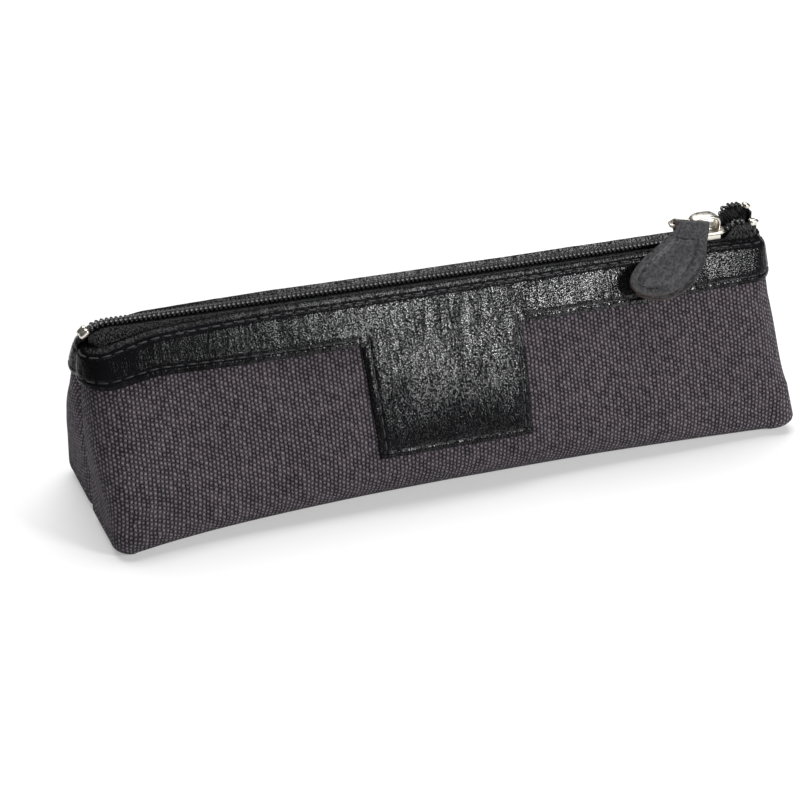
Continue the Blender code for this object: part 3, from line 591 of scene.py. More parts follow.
def canvas_material():
    """Cotton canvas: stout warp threads rise over a thinner weft as matte bumps in staggered columns."""
    made, tree, shader, colours = new_material("cotton canvas")
    # The warp threads lie 1.12 mm apart and the weft threads 0.60 mm.
    warp_pitch, weft_pitch = 0.00112, 0.00060
    uv = node(tree, "UVMap", uv_map="cloth")
    # The threads wander by a fraction of a millimetre every 3 mm.
    drift = node(tree, "TexNoise", {"Vector": uv, "Scale": 300.0, "Detail": 2.0})
    drift = drift.node.outputs["Color"]
    drift = node(tree, "VectorMath", {0: drift, 1: (0.5, 0.5, 0.5)}, operation="SUBTRACT")
    moved = node(tree, "VectorMath", {0: drift, "Scale": 0.0010}, operation="SCALE")
    moved = node(tree, "VectorMath", {0: uv, 1: moved}, operation="ADD")
    parts = node(tree, "SeparateXYZ", {0: moved})
    # Which column of the weave a place is in, how far from its middle, and the same down the column.
    across = node(tree, "Math", {0: parts, 1: warp_pitch}, operation="DIVIDE")
    column = node(tree, "Math", {0: across}, operation="FLOOR")
    side = node(tree, "Math", {0: across}, operation="FRACT")
    side = node(tree, "Math", {0: side, 1: 0.5}, operation="SUBTRACT")
    odd = node(tree, "Math", {0: column, 1: 2.0}, operation="FLOORED_MODULO")
    down = node(tree, "Math", {0: parts.node.outputs[1], 1: 2 * weft_pitch}, operation="DIVIDE")
    down = node(tree, "Math", {0: odd, 1: 0.5, 2: down}, operation="MULTIPLY_ADD")
    down = node(tree, "Math", {0: side, 1: 0.28, 2: down}, operation="MULTIPLY_ADD")
    step = node(tree, "Math", {0: down}, operation="FLOOR")
    along = node(tree, "Math", {0: down}, operation="FRACT")
    along = node(tree, "Math", {0: along, 1: 0.5}, operation="SUBTRACT")
    # Each warp float is a hill across and along its column, and the weft lies lower between two of them.
    hills = []
    for place, wide in ((side, math.pi), (along, 1.1 * math.pi), (along, 2 * math.pi)):
        angle = node(tree, "Math", {0: place, 1: wide}, operation="MULTIPLY")
        hills.append(node(tree, "Math", {0: angle}, operation="COSINE"))
    for k in range(2):
        hill = node(tree, "Math", {0: hills[k], 1: 0.0}, operation="MAXIMUM")
        hills[k] = node(tree, "Math", {0: hill, 1: 0.9}, operation="POWER")
    warp = node(tree, "Math", {0: hills[0], 1: hills[1]}, operation="MULTIPLY")
    weft = node(tree, "Math", {0: hills[2], 1: -0.24, 2: 0.22}, operation="MULTIPLY_ADD")
    hill = node(tree, "Math", {0: warp, 1: weft}, operation="MAXIMUM")
    # Every float has a height of its own, and cotton hairs 0.2 mm wide roughen it.
    index = node(tree, "CombineXYZ", {0: column, 1: step})
    flecks = node(tree, "TexWhiteNoise", {"Vector": index}, noise_dimensions="3D")
    fleck = node(tree, "MapRange", {0: flecks, 3: 0.70, 4: 1.10})
    hairs = node(tree, "TexNoise", {"Vector": uv, "Scale": 4200.0, "Detail": 3.0, "Roughness": 0.7})
    fuzz = node(tree, "MapRange", {0: hairs, 1: 0.3, 2: 0.7, 3: 0.84, 4: 1.12})
    hill = node(tree, "Math", {0: hill, 1: fleck}, operation="MULTIPLY")
    hill = node(tree, "Math", {0: hill, 1: fuzz}, operation="MULTIPLY")
    # The colour runs from painted shade, nearly black, in the low gaps between the threads up to the thread
    # colour on the floats' tops.
    base = node(tree, "ValToRGB", {0: hill}, [(0.25, colours.canvas_gap_shade), (0.95, colours.canvas_thread)])
    # The dye is slightly uneven in patches 26 mm across.
    patches = node(tree, "TexNoise", {"Vector": uv, "Scale": 38.0, "Detail": 3.0})
    patch = node(tree, "MapRange", {0: patches, 1: 0.3, 2: 0.7, 3: 0.92, 4: 1.08})
    tint = node(tree, "VectorMath", {0: base, "Scale": patch}, operation="SCALE")
    bump = node(tree, "Bump", {"Height": hill, "Strength": 1.0, "Distance": 0.00062})
    fill(shader, {"Base Color": tint, "Normal": bump, "Roughness": 0.92, "Specular IOR Level": 0.2})
    fill(shader, {"Sheen Weight": 0.05, "Sheen Roughness": 0.45})
    return made


def band_material():
    """Black pebbled cowhide: glossy on the pebbles, dull in the creases, with its sheen turned down towards
    its ends and low on the tab as painted shade.
    """
    made, tree, shader, colours = new_material("grained cowhide")
    uv = node(tree, "UVMap", uv_map="cloth")
    place = node(tree, "TexCoord").node.outputs["Object"]
    # Pebbles 0.4 mm across, a little coarser than the real ones so that they show.
    cells = node(tree, "TexVoronoi", {"Vector": place, "Scale": 2300.0, "Randomness": 1.0})
    fine = node(tree, "TexNoise", {"Vector": place, "Scale": 2200.0, "Detail": 1.0, "Roughness": 0.5})
    grain = node(tree, "Math", {0: cells, 1: 0.9}, operation="MULTIPLY")
    height = node(tree, "Math", {0: fine, 1: 0.25, 2: grain}, operation="MULTIPLY_ADD")
    # Creases 2 mm apart and 14 mm long run down the hide, in some places and not in others.
    stretched = node(tree, "Mapping", {0: uv, "Rotation": (0, 0, 0.14), "Scale": (430.0, 70.0, 1.0)})
    kind = {"Scale": 1.0, "Detail": 4.0, "Roughness": 0.65, "Distortion": 0.6}
    creases = node(tree, "TexNoise", {"Vector": stretched, **kind})
    crease = node(tree, "Math", {0: creases, 1: 0.5}, operation="SUBTRACT")
    crease = node(tree, "Math", {0: crease}, operation="ABSOLUTE")
    crease = node(tree, "MapRange", {0: crease, 2: 0.12})
    where = node(tree, "TexNoise", {"Vector": uv, "Scale": 55.0, "Detail": 2.0})
    where = node(tree, "MapRange", {0: where, 1: 0.42, 2: 0.62, 3: 0.15})
    deep = node(tree, "Math", {0: crease, 1: where}, operation="MULTIPLY")
    bump = node(tree, "Bump", {"Height": height, "Strength": 0.9, "Distance": 0.00007})
    bump = node(tree, "Bump", {"Height": deep, "Strength": 0.5, "Distance": 0.00020, "Normal": bump})
    worn = node(tree, "TexNoise", {"Vector": place, "Scale": 90.0, "Detail": 3.0})
    base = node(tree, "ValToRGB", {0: worn}, [(0.3, "0b0b0c"), (0.7, colours.band)])
    gloss = node(tree, "MapRange", {0: worn, 1: 0.3, 2: 0.7, 3: 0.23, 4: 0.16})
    # Pebbles differ in polish, and the valleys between them and the creases stay dull.
    pebble = node(tree, "SeparateColor", {0: cells.node.outputs["Color"]})
    shine = node(tree, "MapRange", {0: pebble, 3: 0.55, 4: 1.15})
    valley = node(tree, "MapRange", {0: cells, 1: 0.32, 2: 0.70, 3: 0.95, 4: 0.08})
    crack = node(tree, "MapRange", {0: crease, 2: 0.35, 3: 0.15})
    masks = [valley, crack]
    # Painted shade on the sheen: the shine is turned down towards the left and right ends and low on the tab,
    # in place of a lamp's reflection that falls off there.
    axes = node(tree, "SeparateXYZ", {0: place}).node.outputs
    painted_sheen_spans = ((0, -0.070, -0.012, 0.16, 0.95), (0, 0.064, 0.096, 1.0, 0.22), (2, 0.020, 0.038, 0.42, 1.0))
    for axis, start, end, low, high in painted_sheen_spans:
        masks.append(node(tree, "MapRange", {0: axes[axis], 1: start, 2: end, 3: low, 4: high}))
    for mask in masks:
        shine = node(tree, "Math", {0: shine, 1: mask}, operation="MULTIPLY")
    fill(shader, {"Base Color": base, "Normal": bump, "Roughness": gloss, "Specular IOR Level": shine})
    return made


def puller_material():
    """Charcoal leather with a corrected, nearly smooth face: matte, with faint pores and clouds."""
    made, tree, shader, colours = new_material("smooth charcoal leather")
    place = node(tree, "TexCoord").node.outputs["Object"]
    # Pores 0.8 mm apart, and a cloudy dye in patches of 6 mm.
    pores = node(tree, "TexNoise", {"Vector": place, "Scale": 1200.0, "Detail": 3.0, "Roughness": 0.6})
    cloud = node(tree, "TexNoise", {"Vector": place, "Scale": 170.0, "Detail": 3.0})
    shade = node(tree, "MapRange", {0: cloud, 1: 0.3, 2: 0.7, 3: 0.88, 4: 1.08})
    face = node(tree, "ValToRGB", {0: pores}, [(0.38, "0c0c0d"), (0.60, colours.puller_face)])
    base = node(tree, "VectorMath", {0: face, "Scale": shade}, operation="SCALE")
    bump = node(tree, "Bump", {"Height": pores, "Strength": 1.0, "Distance": 0.00026})
    fill(shader, {"Base Color": base, "Normal": bump, "Roughness": 0.48, "Specular IOR Level": 0.4})
    return made


def tape_material():
    """Black polyester zip tape in a tight twill: glinting floats 0.5 mm long in slanting rows."""
    made, tree, shader, colours = new_material("woven polyester tape")
    uv = node(tree, "UVMap", uv_map="cloth")
    slanted = node(tree, "Mapping", {0: uv, "Rotation": (0, 0, 0.6), "Scale": (1900.0, 2900.0, 1.0)})
    floats = node(tree, "TexVoronoi", {"Vector": slanted, "Scale": 1.0, "Randomness": 0.55})
    hairs = node(tree, "TexNoise", {"Vector": uv, "Scale": 3500.0, "Detail": 2.0})
    height = node(tree, "Math", {0: floats, 1: -0.9, 2: hairs}, operation="MULTIPLY_ADD")
    base = node(tree, "ValToRGB", {0: height}, [(0.0, "040405"), (0.45, colours.tape)])
    gloss = node(tree, "MapRange", {0: height, 1: -0.2, 2: 0.4, 3: 0.02, 4: 0.6})
    bump = node(tree, "Bump", {"Height": height, "Strength": 0.9, "Distance": 0.00016})
    fill(shader, {"Base Color": base, "Normal": bump, "Roughness": 0.55, "Specular IOR Level": gloss})
    return made


def raw_edge_material():
    """The cut edge of the puller's leather: brownish and dull, with fibres 0.3 mm across."""
    made, tree, shader, colours = new_material("raw leather edge")
    place = node(tree, "TexCoord").node.outputs["Object"]
    fibres = node(tree, "TexNoise", {"Vector": place, "Scale": 3600.0, "Detail": 4.0, "Roughness": 0.75})
    base = node(tree, "ValToRGB", {0: fibres}, [(0.35, "2b2624"), (0.65, colours.raw_edge)])
    bump = node(tree, "Bump", {"Height": fibres, "Strength": 0.8, "Distance": 0.0001})
    fill(shader, {"Base Color": base, "Normal": bump, "Roughness": 0.85})
    return made


def nylon_material():
    """Nylon monofilament: black, smooth and slightly glossy, with the faint waviness of a drawn wire."""
    made, tree, shader, colours = new_material("nylon monofilament")
    place = node(tree, "TexCoord").node.outputs["Object"]
    drawn = node(tree, "TexNoise", {"Vector": place, "Scale": 900.0, "Detail": 2.0})
    base = node(tree, "ValToRGB", {0: drawn}, [(0.3, "050506"), (0.7, colours.nylon)])
    bump = node(tree, "Bump", {"Height": drawn, "Strength": 0.2, "Distance": 0.00005})
    fill(shader, {"Base Color": base, "Normal": bump, "Roughness": 0.30, "Specular IOR Level": 0.7})
    return made


def thread_material():
    """Bonded polyester thread: black, with the twist of its plies showing as a diagonal 0.3 mm wide."""
    made, tree, shader, colours = new_material("bonded polyester thread")
    place = node(tree, "TexCoord").node.outputs["Object"]
    twist = {"Vector": place, "Scale": 1100.0, "Distortion": 1.5}
    plies = node(tree, "TexWave", twist, bands_direction="DIAGONAL")
    base = node(tree, "ValToRGB", {0: plies}, [(0.2, "0b0b0d"), (0.9, colours.thread)])
    bump = node(tree, "Bump", {"Height": plies, "Strength": 0.5, "Distance": 0.00008})
    fill(shader, {"Base Color": base, "Normal": bump, "Roughness": 0.5})
    return made


def lining_material():
    """Thin polyester lining in a plain weave of 0.4 mm."""
    made, tree, shader, colours = new_material("polyester lining")
    uv = node(tree, "UVMap", uv_map="cloth")
    weave = node(tree, "TexChecker", {"Vector": uv, "Scale": 2500.0}).node.outputs["Fac"]
    shade = node(tree, "TexNoise", {"Vector": uv, "Scale": 300.0})
    base = node(tree, "ValToRGB", {0: shade}, [(0.3, "151517"), (0.7, colours.lining)])
    bump = node(tree, "Bump", {"Height": weave, "Strength": 0.4, "Distance": 0.0001})
    fill(shader, {"Base Color": base, "Normal": bump, "Roughness": 0.7})
    return made


def nickel_material():
    """Nickel plating on die-cast zinc: bright and a little warm, tumbled, so its gloss is softly uneven."""
    made, tree, shader, colours = new_material("nickel plating")
    place = node(tree, "TexCoord").node.outputs["Object"]
    tumbled = node(tree, "TexNoise", {"Vector": place, "Scale": 1300.0, "Detail": 3.0})
    gloss = node(tree, "MapRange", {0: tumbled, 1: 0.3, 2: 0.7, 3: 0.24, 4: 0.38})
    base = node(tree, "ValToRGB", {0: tumbled}, [(0.3, "c4beb2"), (0.6, colours.nickel)])
    bump = node(tree, "Bump", {"Height": tumbled, "Strength": 0.15, "Distance": 0.00005})
    fill(shader, {"Base Color": base, "Normal": bump, "Roughness": gloss, "Metallic": 1.0})
    return made


def select_only(*items):
    """Selects the items alone and makes the first one active."""
    bpy.ops.object.select_all(action="DESELECT")
    for item in items:
        item.select_set(True)
    bpy.context.view_layer.objects.active = items[0]


def object_from(name, bm, *materials):
    """A new object in the scene that has the bmesh as its mesh."""
    mesh = bpy.data.meshes.new(name)
    bm.to_mesh(mesh)
    bm.free()
    for material in materials:
        mesh.materials.append(material)
    made = bpy.data.objects.new(name, mesh)
    bpy.context.scene.collection.objects.link(made)
    return made


def add_step(made, kind, **settings):
    """Adds a modifier, sets it up and applies it."""
    select_only(made)
    step = made.modifiers.new(kind.capitalize(), kind)
    for name, value in settings.items():
        setattr(step, name, value)
    bpy.ops.object.modifier_apply(modifier=step.name)


def round_edges(made, width, angle, segments):
    """Rounds the edges that are sharper than the angle."""
    add_step(made, "BEVEL", width=width, segments=segments, limit_method="ANGLE", angle_limit=angle)


def shade_smooth(made):
    """Shades the piece smooth, but not across its sharp edges."""
    select_only(made)
    bpy.ops.object.shade_smooth_by_angle(angle=SMOOTH_ANGLE)


def dressed(made, body, solid):
    """Lets the smooth piece ride on its body in place of the plain solid."""
    shade_smooth(made)
    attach(made, body)
    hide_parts(solid)
    return made


def skin(bm, rings, closed=False):
    """Joins rings of vertices into a bar, with a face over each end unless it is closed."""
    count = len(rings[0])
    for ring, after in list(zip(rings, rings[1:])) + ([(rings[-1], rings[0])] if closed else []):
        for s in range(count):
            following = (s + 1) % count
            bm.faces.new((ring[s], ring[following], after[following], after[s]))
    if not closed:
        bm.faces.new(list(reversed(rings[0])))
        bm.faces.new(rings[-1])


def tube(bm, centres, radii, ups, sides=6, closed=False):
    """A round bar along its centres. Each up keeps the section from twisting."""
    rings = []
    count = len(centres)
    for k, centre in enumerate(centres):
        before = centres[k - 1] if closed or k else centre
        after = centres[(k + 1) % count] if closed or k < count - 1 else centre
        ahead = (after - before).normalized()
        side = ahead.cross(ups[k]).normalized()
        up = side.cross(ahead)
        arms = [side * math.cos(t) + up * math.sin(t) for t in spread(0, 2 * math.pi, sides)[:-1]]
        rings.append([bm.verts.new(centre + arm * radii[k]) for arm in arms])
    skin(bm, rings, closed)


def cloth(outer, inner, coordinates, keep=None, base=False):
    """A closed sheet between two grids of points, with its thread directions as UV coordinates in metres."""
    bm = bmesh.new()
    layer = bm.loops.layers.uv.new("cloth")
    above = [[bm.verts.new(point) for point in row] for row in outer]
    below = [[bm.verts.new(point) for point in row] for row in inner]
    facing, places = {}, {}
    for row, under, where in zip(above, below, coordinates):
        facing.update(zip(row, under))
        places.update(zip(row, where))
        places.update(zip(under, where))
    for r in range(len(above) - 1):
        for c in range(len(above[0]) - 1):
            if keep is None or keep(r, c):
                bm.faces.new((above[r][c], above[r][c + 1], above[r + 1][c + 1], above[r + 1][c]))
    if base:
        bm.faces.new(list(reversed(above[0])))
    rim_loops = [loop for edge in bm.edges if edge.is_boundary for loop in edge.link_loops]
    rims = [(loop.vert, loop.link_loop_next.vert) for loop in rim_loops]
    for face in list(bm.faces):
        bm.faces.new([facing[vert] for vert in reversed(face.verts)])
    for first, second in rims:
        bm.faces.new((second, first, facing[first], facing[second]))
    bmesh.ops.delete(bm, geom=[vert for vert in bm.verts if not vert.link_faces], context="VERTS")
    for face in bm.faces:
        for loop in face.loops:
            loop[layer].uv = loop.vert.co.xy if len(face.verts) > 4 else places[loop.vert]
    return bm


def turned(bm, rear):
    """The same mesh, turned the right way out where the wall was mirrored to the rear."""
    if rear:
        bmesh.ops.reverse_faces(bm, faces=bm.faces)
    return bm


def along_rows(rows, middle):
    """Distances along each row of points from its middle column."""
    return [[total - sums[middle] for total in sums] for sums in map(lengths, rows)]


def wall_cloth(wall, rear, places, rows, lift, thickness, keep=None, base=False, level=None):
    """A closed sheet that follows the wall. lift(point, column, level) is how far its outer face stands off.

    The rows are levels, unless level(column, row) turns them into levels.
    """
    levels = [[level(column, row) if level else row for column in places] for row in rows]
    plain = [[wall.point(column, at) for column, at in zip(places, row)] for row in levels]
    runs = along_rows(plain, len(places) // 2)
    folded = sum(row[0] < 0 for row in levels)
    runs[:folded] = [runs[folded]] * folded
    drops = [[0.0] * len(places)]
    for above, below in zip(reversed(plain), list(reversed(plain))[1:]):
        drops.insert(0, [drop - (high - low).length for drop, high, low in zip(drops[0], above, below)])
    outer, inner, where = [], [], []
    for r, row in enumerate(levels):
        outer.append([])
        inner.append([])
        for c, (column, at) in enumerate(zip(places, row)):
            over = lift(plain[r][c], column, at)
            under = over - (thickness(at) if callable(thickness) else thickness)
            outer[-1].append(wall.placed(wall.lifted(column, at, over), rear))
            inner[-1].append(wall.placed(wall.lifted(column, at, under), rear))
        where.append(list(zip(runs[r], drops[r])))
    return turned(cloth(outer, inner, where, keep, base), rear)


def canvas_lift(wall, rear):
    """How the canvas swells, sags and draws in at its side seams."""
    seed = CANVAS_SEEDS[rear]

    def lift(point, column, level):
        if level <= -CANVAS_HELD:
            return 0.0
        free = math.sin(clamp(level / CANVAS_HELD + 1) * math.pi / 2)
        wave = noise.noise(point * Vector(CANVAS_WAVES) + Vector((seed, 0, 0)))
        small = noise.noise(point * Vector(CANVAS_RIPPLES) + Vector((0, seed, 0)))
        drawn = 0.0
        if column[0].endswith("end"):
            drawn = SEAM_DRAW * bell(abs(point.y) - wall.seam_gap / 2, SEAM_WIDTH)
            drawn += HEM_DRAW * bell((level + HEM_LEVEL) * wall.run, HEM_WIDTH)
        return free * (CANVAS_SWELL * wave + CANVAS_RIPPLE * small) - drawn

    return lift


def band_lift(wall, rear):
    """The band's outer face: drawn down along its stitches, pressed thin at its edges, wavy between."""
    seed = BAND_SEEDS[rear]
    lean = wall.band_lean * (REAR_LEAN_SHARE if rear else 1.0)

    def lift(point, column, level):
        over = wall.overhang(point.x)
        depth = wall.from_top(level) + over
        foot = wall.from_top(wall.band_foot(column)) + over
        wave = noise.noise(Vector((point.x * BAND_WAVES[0] + seed, depth * BAND_WAVES[1], seed)))
        pucker = noise.noise(Vector((point.x * BAND_PUCKERS[0], depth * BAND_PUCKERS[1], seed)))
        seams = [depth - wall.top_stitch(point.x)]
        edge = min(depth, max(0.0, foot - depth))
        if column[0] != "tab":
            seams.append(depth - foot + wall.stitch_inset)
        elif not rear:
            side = min(column[1], 1 - column[1]) * wall.tab_width
            down = wall.from_top(wall.tab_level) + over - depth
            seams.append(down - wall.stitch_inset)
            if depth > foot - wall.stitch_inset:
                seams.append(side - wall.stitch_inset)
            edge = min(depth, down) if depth < foot else min(down, side)
        drawn = GROOVE * max(bell(seam, GROOVE_WIDTH) for seam in seams)
        drawn += THIN_EDGE * bell(edge, THIN_WIDTH) + lean * bell(depth, LEAN_WIDTH)
        return BAND_CLEAR + wall.leather + wall.seam_gap / 2 + BAND_WAVE * wave + BAND_PUCKER * pucker - drawn

    return lift


class PENCILCASE_OT_canvas(bpy.types.Operator):
    """Model the canvas walls and their linings"""

    bl_idname = "pencil_case.canvas"
    bl_label = "Canvas and lining"

    def execute(self, context):
        wall = Wall()
        canvas, lining = shared(canvas_material), shared(lining_material)
        stops = (-1.0, 0.0, wall.tab_level, wall.band_level, 1 - wall.turned_edge / wall.run)
        shown = [-1.0]
        for low, high, count in zip(stops, stops[1:], CANVAS_ROWS):
            shown += spread(low, high, count)[1:]
        inside = spread(-1.0, 0.0, LINING_ROWS[0])
        inside += spread(0.0, 1 - LINING_DROP / wall.run, LINING_ROWS[1])[1:]
        sink = wall.canvas + wall.tape + 2 * wall.seam_gap
        for side, rear in SIDES:
            lift = canvas_lift(wall, rear)
            bm = wall_cloth(wall, rear, columns(*CANVAS_COLUMNS), shown, lift, wall.canvas, base=True)
            made = object_from(f"{side}_canvas_wall", bm, canvas)
            dressed(made, "case", f"{side}_canvas_panel")
            places = columns(*LINING_COLUMNS)
            bm = wall_cloth(wall, rear, places, inside, lambda *_: -sink, wall.lining, base=True)
            made = object_from(f"{side}_lining_sheet", bm, lining)
            dressed(made, "case", f"{side}_lining_panel")
        return {"FINISHED"}


class PENCILCASE_OT_bands(bpy.types.Operator):
    """Model the leather bands and the tab"""

    bl_idname = "pencil_case.bands"
    bl_label = "Leather bands"

    def execute(self, context):
        wall = Wall()
        places = columns(*BAND_COLUMNS)
        band = [(1.0, share) for share in spread(0, 1, BAND_ROWS)]
        tab = [(0.0, share) for share in spread(0, 1, TAB_ROWS)[:-1]]

        def level(column, row):
            foot = wall.band_foot(column)
            low, high = (foot, wall.band_top(column)) if row[0] else (wall.tab_level, foot)
            return low + (high - low) * row[1]

        def thickness(at):
            turned_down = clamp(1 - (wall.from_top(at) + wall.band_over / 2) / wall.turned_edge)
            return wall.leather + wall.canvas / 2 * clamp(3 * turned_down)

        for side, rear in SIDES:
            rows = band if rear else tab + band

            def keep(r, c, rows=rows):
                return rows[r][0] == 1.0 or (places[c][0] == "tab" and places[c + 1][0] == "tab")

            bm = wall_cloth(wall, rear, places, rows, band_lift(wall, rear), thickness, keep, level=level)
            made = object_from(f"{side}_band", bm, shared(band_material))
            shade_smooth(made)
            round_edges(made, *BAND_EDGE)
            dressed(made, "case", f"{side}_leather_band")
        return {"FINISHED"}


def sewn(bm, points, normals, pitch, radius):
    """Separate stitches along a seam, each a short bar whose ends dip into the leather."""
    sums = lengths(points)
    count = max(1, round(sums[-1] / pitch))
    step = sums[-1] / count

    def at(distance):
        distance = min(max(distance, 0.0), sums[-1])
        k = next(k for k in range(1, len(sums)) if sums[k] >= distance - 1e-12)
        part = (distance - sums[k - 1]) / max(sums[k] - sums[k - 1], 1e-9)
        return points[k - 1].lerp(points[k], part), normals[k - 1].lerp(normals[k], part).normalized()

    for k in range(count):
        centres, ups = [], []
        for along, rise, _ in STITCH_FORM:
            place, up = at((k + 0.5 + along * STITCH_SHARE) * step)
            centres.append(place + up * radius * rise)
            ups.append(up)
        tube(bm, centres, [radius * girth for _, _, girth in STITCH_FORM], ups)


class PENCILCASE_OT_stitches(bpy.types.Operator):
    """Model the stitches of the bands"""

    bl_idname = "pencil_case.stitches"
    bl_label = "Band stitches"

    def execute(self, context):
        wall = Wall()
        places = open_columns(STITCH_COLUMNS)
        inset, side = wall.stitch_inset / wall.run, wall.stitch_inset / wall.tab_width
        low, foot = wall.band_level + inset, wall.tab_level + inset
        drops = [wall.top_stitch(wall.point(column, 1.0).x) / wall.run for column in places]
        upper = [(column, wall.band_top(column) - drop) for column, drop in zip(places, drops)]
        plain = [(column, wall.band_foot(column) + inset) for column in places]
        left = [place for place in plain if place[0][0].startswith("left")]
        right = [place for place in plain if place[0][0].startswith("right")]
        down = [(("tab", side), level) for level in spread(low, foot, SEAM_DOWN)]
        across = [(("tab", share), foot) for share in spread(side, 1 - side, SEAM_ACROSS)]
        up = [(("tab", 1 - side), level) for level in spread(foot, low, SEAM_DOWN)]
        rows = {
            "front_top": [upper],
            "front_lower": [left, down, across, up, right],
            "rear_top": [upper],
            "rear_lower": [plain],
        }
        for name, seams in rows.items():
            rear = name.startswith("rear")
            lift = band_lift(wall, rear)
            bm = bmesh.new()
            for seam in seams:
                points, normals = [], []
                for column, level in seam:
                    out = lift(wall.point(column, level), column, level)
                    lifts = (out - STITCH_SINK, out + wall.canvas)
                    place, over = [wall.placed(wall.lifted(column, level, far), rear) for far in lifts]
                    points.append(place)
                    normals.append((over - place).normalized())
                sewn(bm, points, normals, wall.stitch_pitch, wall.thread)
            made = object_from(f"{name}_stitches", bm, shared(thread_material))
            dressed(made, "case", name.replace("_", "_band_", 1) + "_thread")
        return {"FINISHED"}


class PENCILCASE_OT_tapes(bpy.types.Operator):
    """Model the zip tapes"""

    bl_idname = "pencil_case.tapes"
    bl_label = "Zip tapes"

    def execute(self, context):
        wall = Wall()
        places = open_columns(TAPE_COLUMNS)
        sink = wall.canvas + wall.seam_gap
        tucked = spread(wall.tuck_level, 1.0, TAPE_ROWS)
        for side, rear in SIDES:
            faces = []
            for depth, height in ((sink, wall.tape / 2), (sink + wall.tape, -wall.tape / 2)):
                rows = [[wall.lifted(column, level, -depth) for column in places] for level in tucked]
                bends = []
                for start in rows[-1]:
                    end = wall.chain(start.x, rear) + Vector((0, 0, height))
                    width = min(wall.coil_width + wall.tape_shoulder, TAPE_SHELF_SHARE * (end.y - start.y))
                    bends.append((start, end + Vector((0, -width, 0)), end))
                rows += [[start.lerp(bend, part) for start, bend, _ in bends] for part in (0.35, 0.7, 1.0)]
                rows += [[bend.lerp(end, part) for _, bend, end in bends] for part in (0.5, 1.0)]
                faces.append([[wall.placed(point, rear) for point in row] for row in rows])
            runs = along_rows(faces[0], len(places) // 2)
            climbs = lengths([row[CLIMB_COLUMN] for row in faces[0]])
            where = [[(run, climb) for run in row] for row, climb in zip(runs, climbs)]
            made = object_from(f"{side}_tape", turned(cloth(*faces, where), rear), shared(tape_material))
            dressed(made, "case", f"{side}_zip_tape")
        return {"FINISHED"}


class PENCILCASE_OT_coils(bpy.types.Operator):
    """Model the two nylon coils"""

    bl_idname = "pencil_case.coils"
    bl_label = "Zip coils"

    def execute(self, context):
        wall = Wall()
        start = -wall.zip_span / 2 + wall.bottom_length * COIL_START_SHARE
        end = wall.zip_span / 2 - wall.end_inset - wall.stop_length
        half = (wall.coil_width + wall.coil_lock) / 2 - wall.coil_wire
        middle = (wall.coil_width - wall.coil_lock) / 2
        foot = wall.tape / 2 + wall.coil_height / 2 + wall.seam_gap / 2
        for side, rear in SIDES:
            steps = spread(start, end + (wall.end_inset / 2 if rear else 0.0), COIL_STEPS)
            sums = lengths([wall.chain(x, rear) for x in steps])
            turns = int(sums[-1] / wall.coil_pitch - 0.5)
            centres, ups = [], []
            for k in range(turns * TURN_POINTS + 1):
                phase = k / TURN_POINTS
                run = wall.coil_pitch * (phase + (0.5 if rear else 0.0))
                at = min(bisect.bisect_left(sums, run), len(sums) - 1)
                before = max(at - 1, 0)
                part = (run - sums[before]) / max(sums[at] - sums[before], 1e-9)
                x = steps[before] + (steps[at] - steps[before]) * part
                flat = squared(math.cos(2 * math.pi * phase), COIL_SQUARE)
                tall = squared(math.sin(2 * math.pi * phase), COIL_SQUARE)
                up = wall.chain_up(x, rear)
                place = wall.chain(x, rear) + up * (foot + tall * (wall.coil_height / 2 - wall.coil_wire))
                place.y += -middle + flat * half
                centre = wall.placed(place, rear)
                hub = wall.placed(place - (up * tall + Vector((0, flat, 0))) * wall.coil_wire, rear)
                centres.append(centre)
                ups.append((centre - hub).normalized())
            bm = bmesh.new()
            tube(bm, centres, [wall.coil_wire] * len(centres), ups, COIL_SIDES)
            made = object_from(f"{side}_coil", bm, shared(nylon_material))
            dressed(made, "case", f"{side}_zip_coil")
        return {"FINISHED"}


def moved(made, place, turn):
    """Puts a shape at its place, turned, with both in its mesh."""
    made.data.transform(Matrix.Translation(place) @ turn.to_4x4())
    return made


def rounded_block(name, size, place, turn, radius, segments=4):
    """A block with rounded edges."""
    bpy.ops.object.select_all(action="DESELECT")
    bpy.ops.mesh.primitive_cube_add(size=1.0)
    made = bpy.context.active_object
    made.name = name
    made.data.transform(Matrix.Diagonal((*size, 1)))
    add_step(made, "BEVEL", width=radius, segments=segments)
    return moved(made, place, turn)


def joined(name, items, body, solid):
    """One nickel-plated piece of several shapes."""
    select_only(*items)
    if len(items) > 1:
        bpy.ops.object.join()
    made = bpy.context.active_object
    made.name = name
    made.data.materials.clear()
    made.data.materials.append(shared(nickel_material))
    return dressed(made, body, solid)


